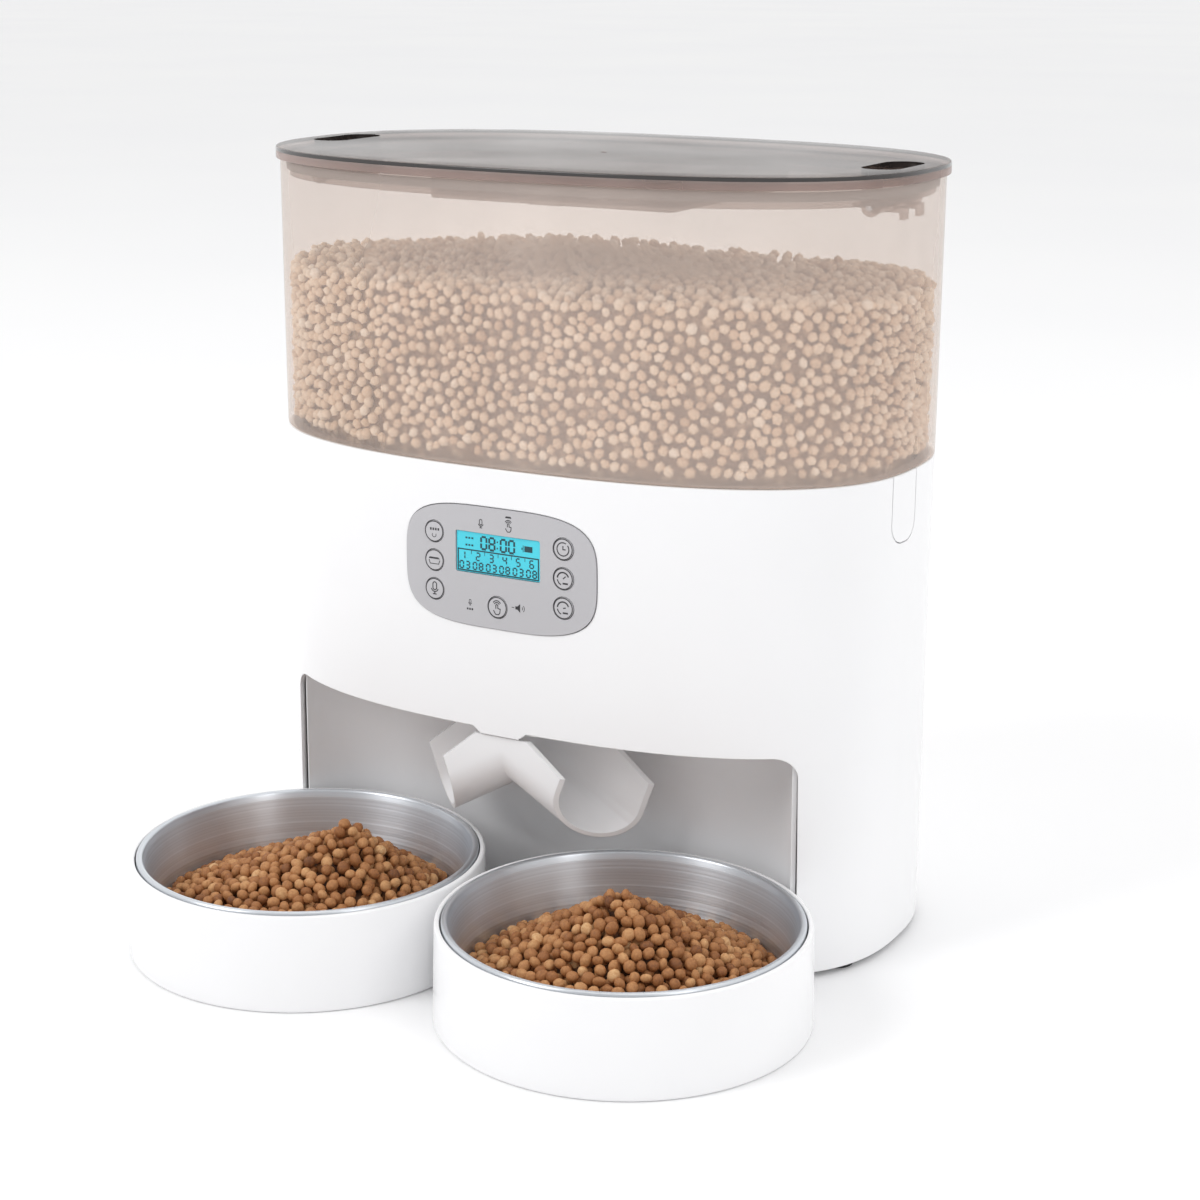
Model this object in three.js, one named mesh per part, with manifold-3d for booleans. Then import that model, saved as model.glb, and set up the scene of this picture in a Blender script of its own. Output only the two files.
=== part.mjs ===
// Automatic pet feeder: clear hopper on a white housing, with a two-way food chute and two steel bowls.
// Millimetres, +Z up. The front faces -Y.
// The origin is the middle of the whole object's footprint, on the floor.
// Inside the group everything is placed from the housing's own vertical axis, at x = 0, y = 0.
import * as THREE from 'three';
import { mergeVertices } from 'three/addons/utils/BufferGeometryUtils.js';
import Module from 'manifold-3d';

const wasm = await Module();
wasm.setup();

// ---- driving dimensions -------------------------------------------------------------------------
const BODY_Y = 53.8; // the housing's axis stands this far behind the origin, because the bowls stand in front
const HALF_WIDTH = 155; // the plan outline at the joint between hopper and housing
const HALF_DEPTH = 94.1;
const PLAN_POWER = [2.53, 2.57]; // exponents of the rounded plan outline, along X and along Y
const JOINT_Z = 217.6; // where the hopper meets the housing
const TOP_Z = 347.8; // the lid's top face
const GROW_TOP = 0.0142; // the outline grows by this share from the joint to the top
const SHRINK_BASE = 0.022; // and shrinks by this share from the joint to the floor
const GAP = 0.3; // clearance between pieces that touch
const WALL = 2.6; // housing wall
const CLEAR_WALL = 2.4; // hopper wall
const BASE_Z = 2.5; // underside of housing and base plate, above the feet
const BASE_THICK = 2.5;
const PLAN_POINTS = 48; // points round a plan outline

const ARCH = { halfWidth: 129, top: 100.5, corner: 9, back: -36, backCorner: 40, skin: 2.2 };
const TONGUE = { halfTop: 13.5, halfBottom: 9.5, bottom: 97.5 };

const DECK_Z = 130; // underside of the deck that carries the metering wheel
const DECK_THICK = 3;
const DRUM = { inner: 50, outer: 52.4, bottom: 134, top: 160 };
const WHEEL = { radius: 48.5, hub: 12, bottom: 137, top: 157, vanes: 6, vaneThick: 2.2 };
const OUTLET = { halfX: 13, front: -46.5, back: -26.5 };
const HEX_R = 5; // the drive shaft's hexagon, across its corners
const PINION_SHAFT = 2;
const TROUGH = { centreY: -75, radius: 14.6, wall: 2, ridgeZ: 75, slope: 30, top: 96.8 };
const TROUGH_RUN = { high: 60, length: 110, before: 30, arcSteps: 10, far: 300 };
const LIP_CUT = { x: 29.5, y: -92, z: 83, normal: [0.7, -0.67, -0.255] };
const EDGE_CUT = { x: 9.3, y: -92, z: 99.5, normal: [0.591, -0.355, 0.724] };
const GEAR = { module: 1, bigTeeth: 36, smallTeeth: 12, bottom: 119, top: 125 };
const GEAR_CENTRES = (GEAR.module * (GEAR.bigTeeth + GEAR.smallTeeth)) / 2;

const SPOUT = { halfX: 17, front: -88, back: -60, bottom: 98, straight: 106, wall: 2, corner: 4 };
const CHUTE_TOP = { overFront: 3.5, overBack: 3, overSide: 4 };
const CHUTE_BEND = { z: 122, front: -58, back: -29, half: 17 };
const PANEL = { z: 173.2, halfWidth: 47.9, halfHeight: 26.9, power: 3.6, proud: 0.6, rim: 2.6 };
const KEY = { radius: 4.8, column: 32.5, pitch: 13, low: -17, hole: 5.1, flange: 6, proud: 0.25 };
const KEY_STEM = { radius: 1.5, back: -85.1, flangeThick: 1, seat: 0.8 };
const PANEL_BACK = 1.6;
const LCD = { z: 179.1, width: 42.6, height: 18.5, corner: 1, face: -93.5, back: -86 };
const LCD_FRAME = { front: -88.3, overX: 2.5, overZ: 1.8 };

const LID = { lip: 1.8, plate: 2.8, skirt: 5.6, plugInset: 4.1, plugWall: 1.8, plugDepth: 11 };
const SLOT = { x: 141, halfX: 9, halfY: 21, corner: 8.9 };
const LATCH = { x: 141, z: 332, pin: 1.5, sleeve: 3.4, halfY: 18, lug: 3, lugHalf: 4, pinOver: 5.5 };
const LATCH_GRIP = { reach: 11, half: 1 };
const LATCH_HOOK = { y: 9, half: 3, reach: 10, nose: 2, drop: 6, low: 3, high: 0.6 };
const DRY_BOX = { x: 5, halfX: 61, halfY: 60, bottom: 330.9, wall: 1.8, door: 1.8 };
const VENT = { steps: [-2, -1, 0, 1, 2], pitch: 20, halfX: 4, halfY: 36, corner: 3.9 };
const SNAP = { halfX: 8, reach: 2.2, rise: 6, under: 3 };

const TAB = { y: -11, halfWidth: 11, bottom: 187, corner: 9, gap: 0.45 };
const BOWL = { x: 79.8, y: -125.5, baseR: 79.4, rimR: 78.7, height: 42, wall: 2.2, segments: 44 };
const BOWL_EDGE = { foot: 1.2, rim: 0.7, draft: 0.6, floor: 3 };
const STEEL = { rimR: 75.9, floorR: 61, floorZ: 3.4, rimZ: 42.8, thick: 1.2 };
const STEEL_CURVE = { out: 7, up: 5, upInside: 5.6, neck: 2.4, neckZ: 3 };
const STEEL_ROLL = { low: 2.6, high: 0.6, width: 1.6 };
const BATTERY = { halfX: 57, front: 5, back: 77, top: 42, wall: 2 };
const CONTACT = { halfX: 50, low: 14, high: 34, thick: 0.6 };
const CONTACT_PAD = { across: [-36, 0, 36], z: 24, radius: 4, tall: 3 };
const FEET = [[136, -33], [100, 58]];
const FOOT_RADIUS = 7.5;
const SCREWS = [[145, -14], [120, 60.5]];
const SCREW = { headRadius: 3.4, headLow: 0.7, shankRadius: 1.45, tip: 15, hole: 2.2 };
const POST = { radius: 5.6, bore: 1.8, boreTop: 20, top: 38 };
const SOCKET = { x: -76, z: 24, half: 7, depth: 13, sunk: 0.4, lip: 2, mouth: 6, bore: 3.2, pin: 1 };
const SPEAKER = { x: 62, z: 62, radius: 14, hole: 1.6, holeRing: 7, depth: 9, rim: 2, coneShare: 0.62 };
const MAIN_BOARD = [[-118, 30, 56], [-60, 31.6, 116]];
const DISPLAY_BOARD = [[-45, -84, 149], [45, -82.4, 198]];
const MICROPHONE = { x: -6.7, z: 194.6, radius: 2.6, front: -87 };
const DISPLAY_BACK = -84.4; // where the display and the microphone stand on their board
const MOTOR = { radius: 13.5, low: 76, high: 109, bossRadius: 5, bossTop: 112.7, capRadius: 7, capLow: 73 };
const GEARBOX = { halfX: 24, front: -21.6, back: 38, corner: 16, bottom: 113, wall: 2, hole: 3 };
const GEARBOX_EAR = { x: 29, half: 6, front: 2, back: 14, corner: 4, thick: 4 };
const STIRRER = { coneTall: 9, coneTop: 5, armLong: 26, armThick: 4, armCentre: 17, armRise: 3 };
const FAR = 200; // past every outer face

// ---- materials ----------------------------------------------------------------------------------
const paint = (color, roughness, metalness = 0, opacity = 1) =>
  new THREE.MeshStandardMaterial({ color, roughness, metalness, opacity, transparent: opacity < 1 });
const WHITE = paint(0xf4f4f5, 0.32);
const CLEAR = paint(0xc9b8ac, 0.08, 0, 0.35);
const SMOKE = paint(0x6f6865, 0.08, 0, 0.6);
const GREY = paint(0xb9b8bb, 0.3);
const KEY_GREY = paint(0xc6c5c8, 0.35);
const SCREEN = paint(0x2fb8c8, 0.2);
const STEEL_PAINT = paint(0xc9cbcd, 0.28, 1);
const RUBBER = paint(0x2b2b2d, 0.8);
const SILICONE = paint(0xd9d6d0, 0.6);
const BLACK = paint(0x1d1d1f, 0.45);
const BOARD = paint(0x1f6b3a, 0.5);
const NYLON = paint(0xe8e4d8, 0.45);

// ---- solids -------------------------------------------------------------------------------------
function toSolid(geometry) {
  const bare = geometry.clone();
  bare.deleteAttribute('normal');
  bare.deleteAttribute('uv');
  const merged = mergeVertices(bare, 1e-4);
  return new wasm.Manifold(new wasm.Mesh({
    numProp: 3,
    vertProperties: Float32Array.from(merged.attributes.position.array),
    triVerts: Uint32Array.from(merged.index.array),
  }));
}

function toGeometry(manifold) {
  const mesh = manifold.getMesh();
  const geometry = new THREE.BufferGeometry();
  geometry.setAttribute('position', new THREE.BufferAttribute(Float32Array.from(mesh.vertProperties), 3));
  geometry.setIndex(new THREE.BufferAttribute(Uint32Array.from(mesh.triVerts), 1));
  return geometry;
}

const join = (...solids) => solids.reduce((sum, next) => sum.add(next));
const cut = (solid, ...tools) => tools.reduce((left, tool) => left.subtract(tool), solid);
const common = (...solids) => solids.reduce((left, next) => left.intersect(next));

// A box between two corners.
function box(low, high) {
  const [w, d, h] = low.map((v, i) => high[i] - v);
  const geometry = new THREE.BoxGeometry(w, d, h);
  geometry.translate(low[0] + w / 2, low[1] + d / 2, low[2] + h / 2);
  return toSolid(geometry);
}

// A cylinder along 'y' or 'z' from one station to another, through the point `at` of the other two axes.
function cylinder(axis, radius, from, to, at, segments = 24, endRadius = radius) {
  const geometry = new THREE.CylinderGeometry(endRadius, radius, to - from, segments);
  geometry.translate(0, (from + to) / 2, 0);
  if (axis === 'y') {
    geometry.translate(at[0], 0, at[1]);
  } else {
    geometry.rotateX(Math.PI / 2);
    geometry.translate(at[0], at[1], 0);
  }
  return toSolid(geometry);
}

// A flat outline of (x, y) points raised from z0 to z1.
function prism(points, z0, z1) {
  const geometry = new THREE.ExtrudeGeometry(new THREE.Shape(points), {
    depth: z1 - z0,
    bevelEnabled: false,
  });
  geometry.translate(0, 0, z0);
  return toSolid(geometry);
}

// A flat outline of (x, z) points pushed from the station y0 back to y1.
function frontPrism(points, y0, y1) {
  const geometry = new THREE.ExtrudeGeometry(new THREE.Shape(points), {
    depth: y1 - y0,
    bevelEnabled: false,
  });
  geometry.rotateX(Math.PI / 2);
  geometry.translate(0, y1, 0);
  return toSolid(geometry);
}

// A profile of (radius, z) points turned about the vertical line at x, y.
function turned(profile, x, y, segments) {
  const geometry = new THREE.LatheGeometry(profile.map(([r, z]) => new THREE.Vector2(r, z)), segments);
  geometry.rotateX(Math.PI / 2);
  geometry.translate(x, y, 0);
  return toSolid(geometry);
}

// A closed skin through rings of equally many points, the last ring joined back to the first.
function ringLoft(rings) {
  const count = rings[0].length;
  const positions = rings.flat().flatMap((p) => [p.x, p.y, p.z]);
  const index = [];
  rings.forEach((ring, r) => {
    const next = (r + 1) % rings.length;
    for (let i = 0; i < count; i += 1) {
      const j = (i + 1) % count;
      const [a, b, c, d] = [r * count + i, r * count + j, next * count + j, next * count + i];
      index.push(a, b, c, a, c, d);
    }
  });
  const geometry = new THREE.BufferGeometry();
  geometry.setAttribute('position', new THREE.Float32BufferAttribute(positions, 3));
  geometry.setIndex(index);
  return toSolid(geometry);
}

// ---- outlines -----------------------------------------------------------------------------------
// Points of |x/a|^p + |y/b|^q = 1, evenly spaced, counter-clockwise from the +X end.
function superellipse(a, b, [p, q], count, cx = 0, cy = 0) {
  const dense = Array.from({ length: 720 }, (_, i) => {
    const t = (i / 720) * 2 * Math.PI;
    const x = a * Math.sign(Math.cos(t)) * Math.abs(Math.cos(t)) ** (2 / p);
    const y = b * Math.sign(Math.sin(t)) * Math.abs(Math.sin(t)) ** (2 / q);
    return new THREE.Vector2(cx + x, cy + y);
  });
  return new THREE.Path([...dense, dense[0]]).getSpacedPoints(count).slice(0, count);
}

const plan = (inset, count = PLAN_POINTS) =>
  superellipse(HALF_WIDTH - inset, HALF_DEPTH - inset, PLAN_POWER, count);

function planScale(z) {
  return z >= JOINT_Z
    ? 1 + (GROW_TOP * (z - JOINT_Z)) / (TOP_Z - JOINT_Z)
    : 1 - (SHRINK_BASE * (JOINT_Z - z)) / JOINT_Z;
}

// The housing's plan outline, inset from its outer face, as a ring at height z.
function planRing(inset, z, count = PLAN_POINTS) {
  return plan(inset, count).map((p) => new THREE.Vector3(p.x * planScale(z), p.y * planScale(z), z));
}

function circleRing(radius, z, count = PLAN_POINTS) {
  return superellipse(radius, radius, [2, 2], count).map((p) => new THREE.Vector3(p.x, p.y, z));
}

// The full body between two heights, inset from its outer face, with its taper.
function block(inset, z0, z1, count = PLAN_POINTS) {
  const geometry = new THREE.ExtrudeGeometry(new THREE.Shape(plan(inset, count)), {
    depth: z1 - z0,
    bevelEnabled: false,
  });
  geometry.translate(0, 0, z0);
  const position = geometry.attributes.position;
  for (let i = 0; i < position.count; i += 1) {
    const scale = planScale(position.getZ(i));
    position.setXY(i, position.getX(i) * scale, position.getY(i) * scale);
  }
  return toSolid(geometry);
}

// The y of the front face at x and z, inset from the outer face.
function frontY(x, z, inset = 0) {
  const scale = planScale(z);
  const across = Math.abs(x) / ((HALF_WIDTH - inset) * scale);
  return -(HALF_DEPTH - inset) * scale * (1 - across ** PLAN_POWER[0]) ** (1 / PLAN_POWER[1]);
}

// A rectangle with rounded corners, as points.
function roundedRectangle(x0, y0, x1, y1, radius, steps = 4) {
  const corners = [
    [x1 - radius, y1 - radius, 0],
    [x0 + radius, y1 - radius, 1],
    [x0 + radius, y0 + radius, 2],
    [x1 - radius, y0 + radius, 3],
  ];
  return corners.flatMap(([cx, cy, quarter]) =>
    Array.from({ length: steps + 1 }, (_, i) => {
      const angle = (quarter + i / steps) * (Math.PI / 2);
      return new THREE.Vector2(cx + radius * Math.cos(angle), cy + radius * Math.sin(angle));
    }),
  );
}

const roundedBox = (x0, y0, x1, y1, radius, z0, z1) =>
  prism(roundedRectangle(x0, y0, x1, y1, radius), z0, z1);

// ---- assembly -----------------------------------------------------------------------------------
const feeder = new THREE.Group();
const axis = new THREE.Group();
axis.position.set(0, BODY_Y, 0);
feeder.add(axis);

function add(name, solid, material) {
  const mesh = new THREE.Mesh(toGeometry(solid), material);
  mesh.name = name;
  axis.add(mesh);
}

// ---- housing ------------------------------------------------------------------------------------
// The bowl bay's opening in the front wall, with the tongue over the chute left standing.
function archOpening() {
  const { halfWidth, top, corner } = ARCH;
  const arc = (cx, from) =>
    Array.from({ length: 5 }, (_, i) => {
      const angle = ((from + i / 4) * Math.PI) / 2;
      return new THREE.Vector2(cx + corner * Math.cos(angle), top - corner + corner * Math.sin(angle));
    });
  const points = [
    new THREE.Vector2(-halfWidth, -5),
    new THREE.Vector2(halfWidth, -5),
    ...arc(halfWidth - corner, 0),
    new THREE.Vector2(TONGUE.halfTop, top),
    new THREE.Vector2(TONGUE.halfBottom, TONGUE.bottom),
    new THREE.Vector2(-TONGUE.halfBottom, TONGUE.bottom),
    new THREE.Vector2(-TONGUE.halfTop, top),
    ...arc(-halfWidth + corner, 1),
  ];
  return frontPrism(points, -FAR, -45);
}

// The space of the bowl bay, grown outward by `skin` on its back, its sides and its roof.
function baySpace(skin, top) {
  const { halfWidth, back, backCorner } = ARCH;
  const side = halfWidth + skin;
  const radius = backCorner + skin;
  const arc = (cx, from) =>
    Array.from({ length: 7 }, (_, i) => {
      const angle = ((from + i / 6) * Math.PI) / 2;
      const cy = back - backCorner;
      return new THREE.Vector2(cx + radius * Math.cos(angle), cy + radius * Math.sin(angle));
    });
  const points = [
    new THREE.Vector2(-side, -FAR),
    new THREE.Vector2(side, -FAR),
    ...arc(side - radius, 0),
    ...arc(-side + radius, 1),
  ];
  return prism(points, -5, top);
}

// The outline of a hopper release tab in (y, z), open at the top, for the wall at either end.
function tabOutline(grow) {
  const { y, halfWidth, bottom, corner } = TAB;
  const half = halfWidth + grow;
  const low = bottom - grow;
  const radius = corner + grow;
  const arc = (cy, from) =>
    Array.from({ length: 5 }, (_, i) => {
      const angle = ((from + i / 4) * Math.PI) / 2;
      return new THREE.Vector2(cy + radius * Math.cos(angle), low + radius + radius * Math.sin(angle));
    });
  return [
    new THREE.Vector2(y + half, JOINT_Z + 5),
    new THREE.Vector2(y - half, JOINT_Z + 5),
    ...arc(y - half + radius, 2),
    ...arc(y + half - radius, 3),
  ];
}

function tabPrism(side, grow) {
  const geometry = new THREE.ExtrudeGeometry(new THREE.Shape(tabOutline(grow)), {
    depth: 40,
    bevelEnabled: false,
  });
  geometry.rotateX(Math.PI / 2);
  geometry.rotateZ(Math.PI / 2);
  geometry.translate(side > 0 ? HALF_WIDTH - 20 : -HALF_WIDTH - 20, 0, 0);
  return toSolid(geometry);
}

const panelOutline = (grow) =>
  superellipse(PANEL.halfWidth + grow, PANEL.halfHeight + grow, [PANEL.power, PANEL.power], 40, 0, PANEL.z);

function housing() {
  const shell = cut(block(0, BASE_Z, JOINT_Z - GAP), block(WALL, 0, JOINT_Z + 1));
  const openings = [
    archOpening(),
    frontPrism(panelOutline(GAP), -FAR, -60),
    tabPrism(1, TAB.gap),
    tabPrism(-1, TAB.gap),
    box(
      [SOCKET.x - SOCKET.half - GAP, 60, SOCKET.z - SOCKET.half - GAP],
      [SOCKET.x + SOCKET.half + GAP, FAR, SOCKET.z + SOCKET.half + GAP],
    ),
    ...grilleHoles(),
  ];
  const posts = SCREWS.flatMap(([x, y]) =>
    [-1, 1].map((side) =>
      cut(
        cylinder('z', POST.radius, BASE_Z + BASE_THICK + GAP, POST.top, [side * x, y], 16),
        cylinder('z', POST.bore, 0, POST.boreTop, [side * x, y], 12),
      ),
    ),
  );
  const clippedPosts = common(join(...posts), block(1, 0, JOINT_Z));
  return join(cut(shell, ...openings), clippedPosts);
}

// Seven small sound holes in the rear wall, one in the middle of six.
function grilleHoles() {
  const ring = Array.from({ length: 6 }, (_, i) => (i * Math.PI) / 3);
  const { x, z, hole, holeRing } = SPEAKER;
  const centres = [[0, 0], ...ring.map((a) => [holeRing * Math.cos(a), holeRing * Math.sin(a)])];
  return centres.map(([dx, dz]) => cylinder('y', hole, 60, FAR, [x + dx, z + dz], 8));
}

add('main_housing', housing(), WHITE);

function bayLiner() {
  const { top, skin } = ARCH;
  const walls = cut(baySpace(skin, top + GAP + skin), baySpace(0, top + GAP));
  const inside = block(WALL + GAP, BASE_Z + BASE_THICK + GAP, JOINT_Z);
  const spoutHole = roundedBox(-SPOUT.halfX - 1, -FAR, SPOUT.halfX + 1, SPOUT.back + 1, 3, 90, 120);
  return cut(common(walls, inside), spoutHole);
}

add('bay_liner', bayLiner(), WHITE);

const deckTop = DECK_Z + DECK_THICK;

function deck() {
  const plate = block(WALL + GAP, DECK_Z, deckTop);
  const outlet = box([-OUTLET.halfX - 2, OUTLET.front - 2, 100], [OUTLET.halfX + 2, OUTLET.back + 2, 150]);
  const shaftHole = cylinder('z', 8, 100, 150, [0, 0], 20);
  const cableSlot = box([-30, 62, 100], [30, 80, 150]);
  return cut(plate, outlet, shaftHole, cableSlot);
}

add('wheel_deck', deck(), NYLON);

function basePlate() {
  const plate = block(WALL + GAP, BASE_Z, BASE_Z + BASE_THICK);
  const battery = box(
    [-BATTERY.halfX - 1, BATTERY.front - 1, -5],
    [BATTERY.halfX + 1, BATTERY.back + 1, 20],
  );
  const holes = SCREWS.flatMap(([x, y]) =>
    [-1, 1].map((side) => cylinder('z', SCREW.hole, -5, 20, [side * x, y], 12)),
  );
  return cut(plate, baySpace(ARCH.skin + GAP, 20), battery, ...holes);
}

add('base_plate', basePlate(), WHITE);

[-1, 1].forEach((side) => {
  const name = side < 0 ? 'left' : 'right';
  FEET.forEach(([x, y], row) => {
    const foot = cylinder('z', FOOT_RADIUS, 0, BASE_Z - GAP, [side * x, y], 24);
    add(`foot_${row === 0 ? 'front' : 'rear'}_${name}`, foot, RUBBER);
  });
  SCREWS.forEach(([x, y], row) => {
    const head = cylinder('z', SCREW.headRadius, SCREW.headLow, BASE_Z - GAP, [side * x, y], 16);
    const shank = cylinder('z', SCREW.shankRadius, SCREW.headLow + 0.8, SCREW.tip, [side * x, y], 12);
    add(`base_screw_${row === 0 ? 'front' : 'rear'}_${name}`, join(head, shank), STEEL_PAINT);
  });
});

// ---- power --------------------------------------------------------------------------------------
function batteryCase() {
  const { halfX, front, back, top, wall } = BATTERY;
  const low = BASE_Z + BASE_THICK + GAP;
  return cut(
    box([-halfX - wall, front - wall, low], [halfX + wall, back + wall, top + wall]),
    box([-halfX, front, 0], [halfX, back, top]),
  );
}

add('battery_case', batteryCase(), BLACK);

const doorHalfX = BATTERY.halfX + 1 - 2 * GAP;
add(
  'battery_door',
  box(
    [-doorHalfX, BATTERY.front - 1 + 2 * GAP, BASE_Z],
    [doorHalfX, BATTERY.back + 1 - 2 * GAP, BASE_Z + BASE_THICK - GAP],
  ),
  WHITE,
);

// A contact plate with one raised button or spring pad for each of three cells.
function contactPlate(y, inward) {
  const { halfX, low, high, thick } = CONTACT;
  const inner = y + inward * thick;
  const plate = box([-halfX, Math.min(y, inner), low], [halfX, Math.max(y, inner), high]);
  const { across, z, radius, tall } = CONTACT_PAD;
  const from = Math.min(y, y + inward * tall);
  const pads = across.map((x) => cylinder('y', radius, from, from + tall, [x, z], 12));
  return join(plate, ...pads);
}

add('battery_contact_front', contactPlate(BATTERY.front + GAP, 1), STEEL_PAINT);
add('battery_contact_rear', contactPlate(BATTERY.back - GAP, -1), STEEL_PAINT);

function powerSocket() {
  const { x, z, half, depth, sunk, lip } = SOCKET;
  const face = -frontY(x, z) - sunk;
  const inner = half - lip;
  const body = box([x - half, face - depth, z - half], [x + half, face, z + half]);
  const mouth = box([x - inner, face - SOCKET.mouth, z - inner], [x + inner, face + 5, z + inner]);
  const bore = cylinder('y', SOCKET.bore, face - depth + 1, face, [x, z], 16);
  const pin = cylinder('y', SOCKET.pin, face - depth + 0.5, face - 4, [x, z], 10);
  return join(cut(body, mouth, bore), pin);
}

add('power_socket', powerSocket(), BLACK);
add('main_board', box(...MAIN_BOARD), BOARD);

function speaker() {
  const { x, z, radius, depth, rim, coneShare } = SPEAKER;
  const face = -frontY(x + radius, z, WALL) - 1;
  const frame = cylinder('y', radius * coneShare, face - depth, face - rim, [x, z], 20, radius);
  return join(frame, cylinder('y', radius, face - rim, face, [x, z], 20));
}

add('speaker', speaker(), BLACK);

// ---- drive --------------------------------------------------------------------------------------
// A spur gear outline with straight-sided teeth, the first one pointing along +X turned by `start`.
function gearOutline(teeth, start) {
  const pitch = (GEAR.module * teeth) / 2;
  const root = pitch - 1.2 * GEAR.module;
  const tip = pitch + 0.9 * GEAR.module;
  const step = (2 * Math.PI) / teeth;
  const at = (radius, angle) => new THREE.Vector2(radius * Math.cos(angle), radius * Math.sin(angle));
  return Array.from({ length: teeth }, (_, i) => start + i * step).flatMap((a) => [
    at(root, a - 0.33 * step),
    at(tip, a - 0.11 * step),
    at(tip, a + 0.11 * step),
    at(root, a + 0.33 * step),
  ]);
}

function gear(teeth, start, x, y) {
  const points = gearOutline(teeth, start).map((p) => new THREE.Vector2(p.x + x, p.y + y));
  return prism(points, GEAR.bottom, GEAR.top);
}

const hexPrism = (radius, z0, z1) => cylinder('z', radius, z0, z1, [0, 0], 6);

function driveGear() {
  return cut(gear(GEAR.bigTeeth, 0, 0, 0), hexPrism(HEX_R + GAP, 100, 150));
}

function driveShaft() {
  const collar = cylinder('z', 7.5, DECK_Z - 3, deckTop - GAP, [0, 0], 20);
  return join(hexPrism(HEX_R, GEAR.bottom - 1.5, WHEEL.top - 4), collar);
}

function motorPinion() {
  const teeth = gear(GEAR.smallTeeth, Math.PI / GEAR.smallTeeth, 0, GEAR_CENTRES);
  return join(teeth, cylinder('z', PINION_SHAFT, MOTOR.high + GAP, GEAR.top, [0, GEAR_CENTRES], 12));
}

function gearboxCover() {
  const { halfX, front, back, corner, bottom, wall } = GEARBOX;
  const shape = (inset, z0, z1) =>
    roundedBox(-halfX + inset, front + inset, halfX - inset, back - inset, corner - inset, z0, z1);
  const outer = shape(0, bottom, DECK_Z - GAP);
  const inner = shape(wall, bottom + wall, DECK_Z + 5);
  const motorHole = cylinder('z', GEARBOX.hole, 100, 120, [0, GEAR_CENTRES], 16);
  const { x, half, thick } = GEARBOX_EAR;
  const ears = [-1, 1].map((side) =>
    roundedBox(
      side * x - half,
      GEARBOX_EAR.front,
      side * x + half,
      GEARBOX_EAR.back,
      GEARBOX_EAR.corner,
      DECK_Z - thick,
      DECK_Z - GAP,
    ),
  );
  return cut(join(cut(outer, inner), ...ears.map((ear) => cut(ear, inner))), motorHole);
}

function motor() {
  const { radius, low, high, bossRadius, bossTop, capRadius, capLow } = MOTOR;
  const can = cylinder('z', radius, low, high, [0, GEAR_CENTRES], 28);
  const boss = cut(
    cylinder('z', bossRadius, high - 1, bossTop, [0, GEAR_CENTRES], 16),
    cylinder('z', PINION_SHAFT + GAP, high - 0.1, FAR, [0, GEAR_CENTRES], 12),
  );
  return join(can, boss, cylinder('z', capRadius, capLow, low + 1, [0, GEAR_CENTRES], 16));
}

add('drive_gear', driveGear(), NYLON);
add('drive_shaft', driveShaft(), NYLON);
add('motor_pinion', motorPinion(), NYLON);
add('gearbox_cover', gearboxCover(), BLACK);
add('feed_motor', motor(), STEEL_PAINT);

// ---- food chute ---------------------------------------------------------------------------------
// The duct from the deck's outlet forward and down to the spout over the splitter.
function foodChute() {
  const topZ = DECK_Z - GAP;
  const stations = [
    {
      z: topZ,
      front: OUTLET.front - CHUTE_TOP.overFront,
      back: OUTLET.back + CHUTE_TOP.overBack,
      half: OUTLET.halfX + CHUTE_TOP.overSide,
    },
    CHUTE_BEND,
    { z: SPOUT.straight, front: SPOUT.front, back: SPOUT.back, half: SPOUT.halfX },
    { z: SPOUT.bottom, front: SPOUT.front, back: SPOUT.back, half: SPOUT.halfX },
  ];
  const ring = (station, inset) =>
    roundedRectangle(
      -station.half + inset,
      station.front + inset,
      station.half - inset,
      station.back - inset,
      SPOUT.corner - inset,
      3,
    ).map((p) => new THREE.Vector3(p.x, p.y, station.z));
  const outside = [...stations].reverse().map((station) => ring(station, 0));
  const inside = stations.map((station) => ring(station, SPOUT.wall));
  return ringLoft([...outside, ...inside]);
}

add('food_chute', foodChute(), WHITE);

// The two-way splitter: one U-section trough falling to each side from a ridge in the middle.
function troughBore(side, grow) {
  const radius = TROUGH.radius + grow;
  const { high, length, before, arcSteps } = TROUGH_RUN;
  const arc = Array.from({ length: arcSteps + 1 }, (_, i) => Math.PI * (1 + i / arcSteps));
  const outline = [
    new THREE.Vector2(radius, high),
    new THREE.Vector2(-radius, high),
    ...arc.map((a) => new THREE.Vector2(radius * Math.cos(a), radius + radius * Math.sin(a) - grow)),
  ];
  const section = new THREE.Shape(outline);
  const geometry = new THREE.ExtrudeGeometry(section, { depth: length, bevelEnabled: false });
  geometry.translate(0, 0, -before);
  // section plane: x becomes y, y becomes up, and the depth runs along +X
  geometry.rotateX(Math.PI / 2);
  geometry.rotateZ(Math.PI / 2);
  geometry.rotateY(THREE.MathUtils.degToRad(TROUGH.slope));
  if (side < 0) {
    geometry.rotateZ(Math.PI);
  }
  geometry.translate(0, TROUGH.centreY, TROUGH.ridgeZ);
  return toSolid(geometry);
}

// A large block that lies on the far side of a plane through a point, for trimming.
function beyondPlane(point, normal) {
  const geometry = new THREE.BoxGeometry(2 * FAR, 2 * FAR, 2 * FAR);
  geometry.translate(0, 0, FAR);
  const turn = new THREE.Quaternion().setFromUnitVectors(
    new THREE.Vector3(0, 0, 1),
    new THREE.Vector3(...normal).normalize(),
  );
  geometry.applyQuaternion(turn);
  geometry.translate(...point);
  return toSolid(geometry);
}

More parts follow.
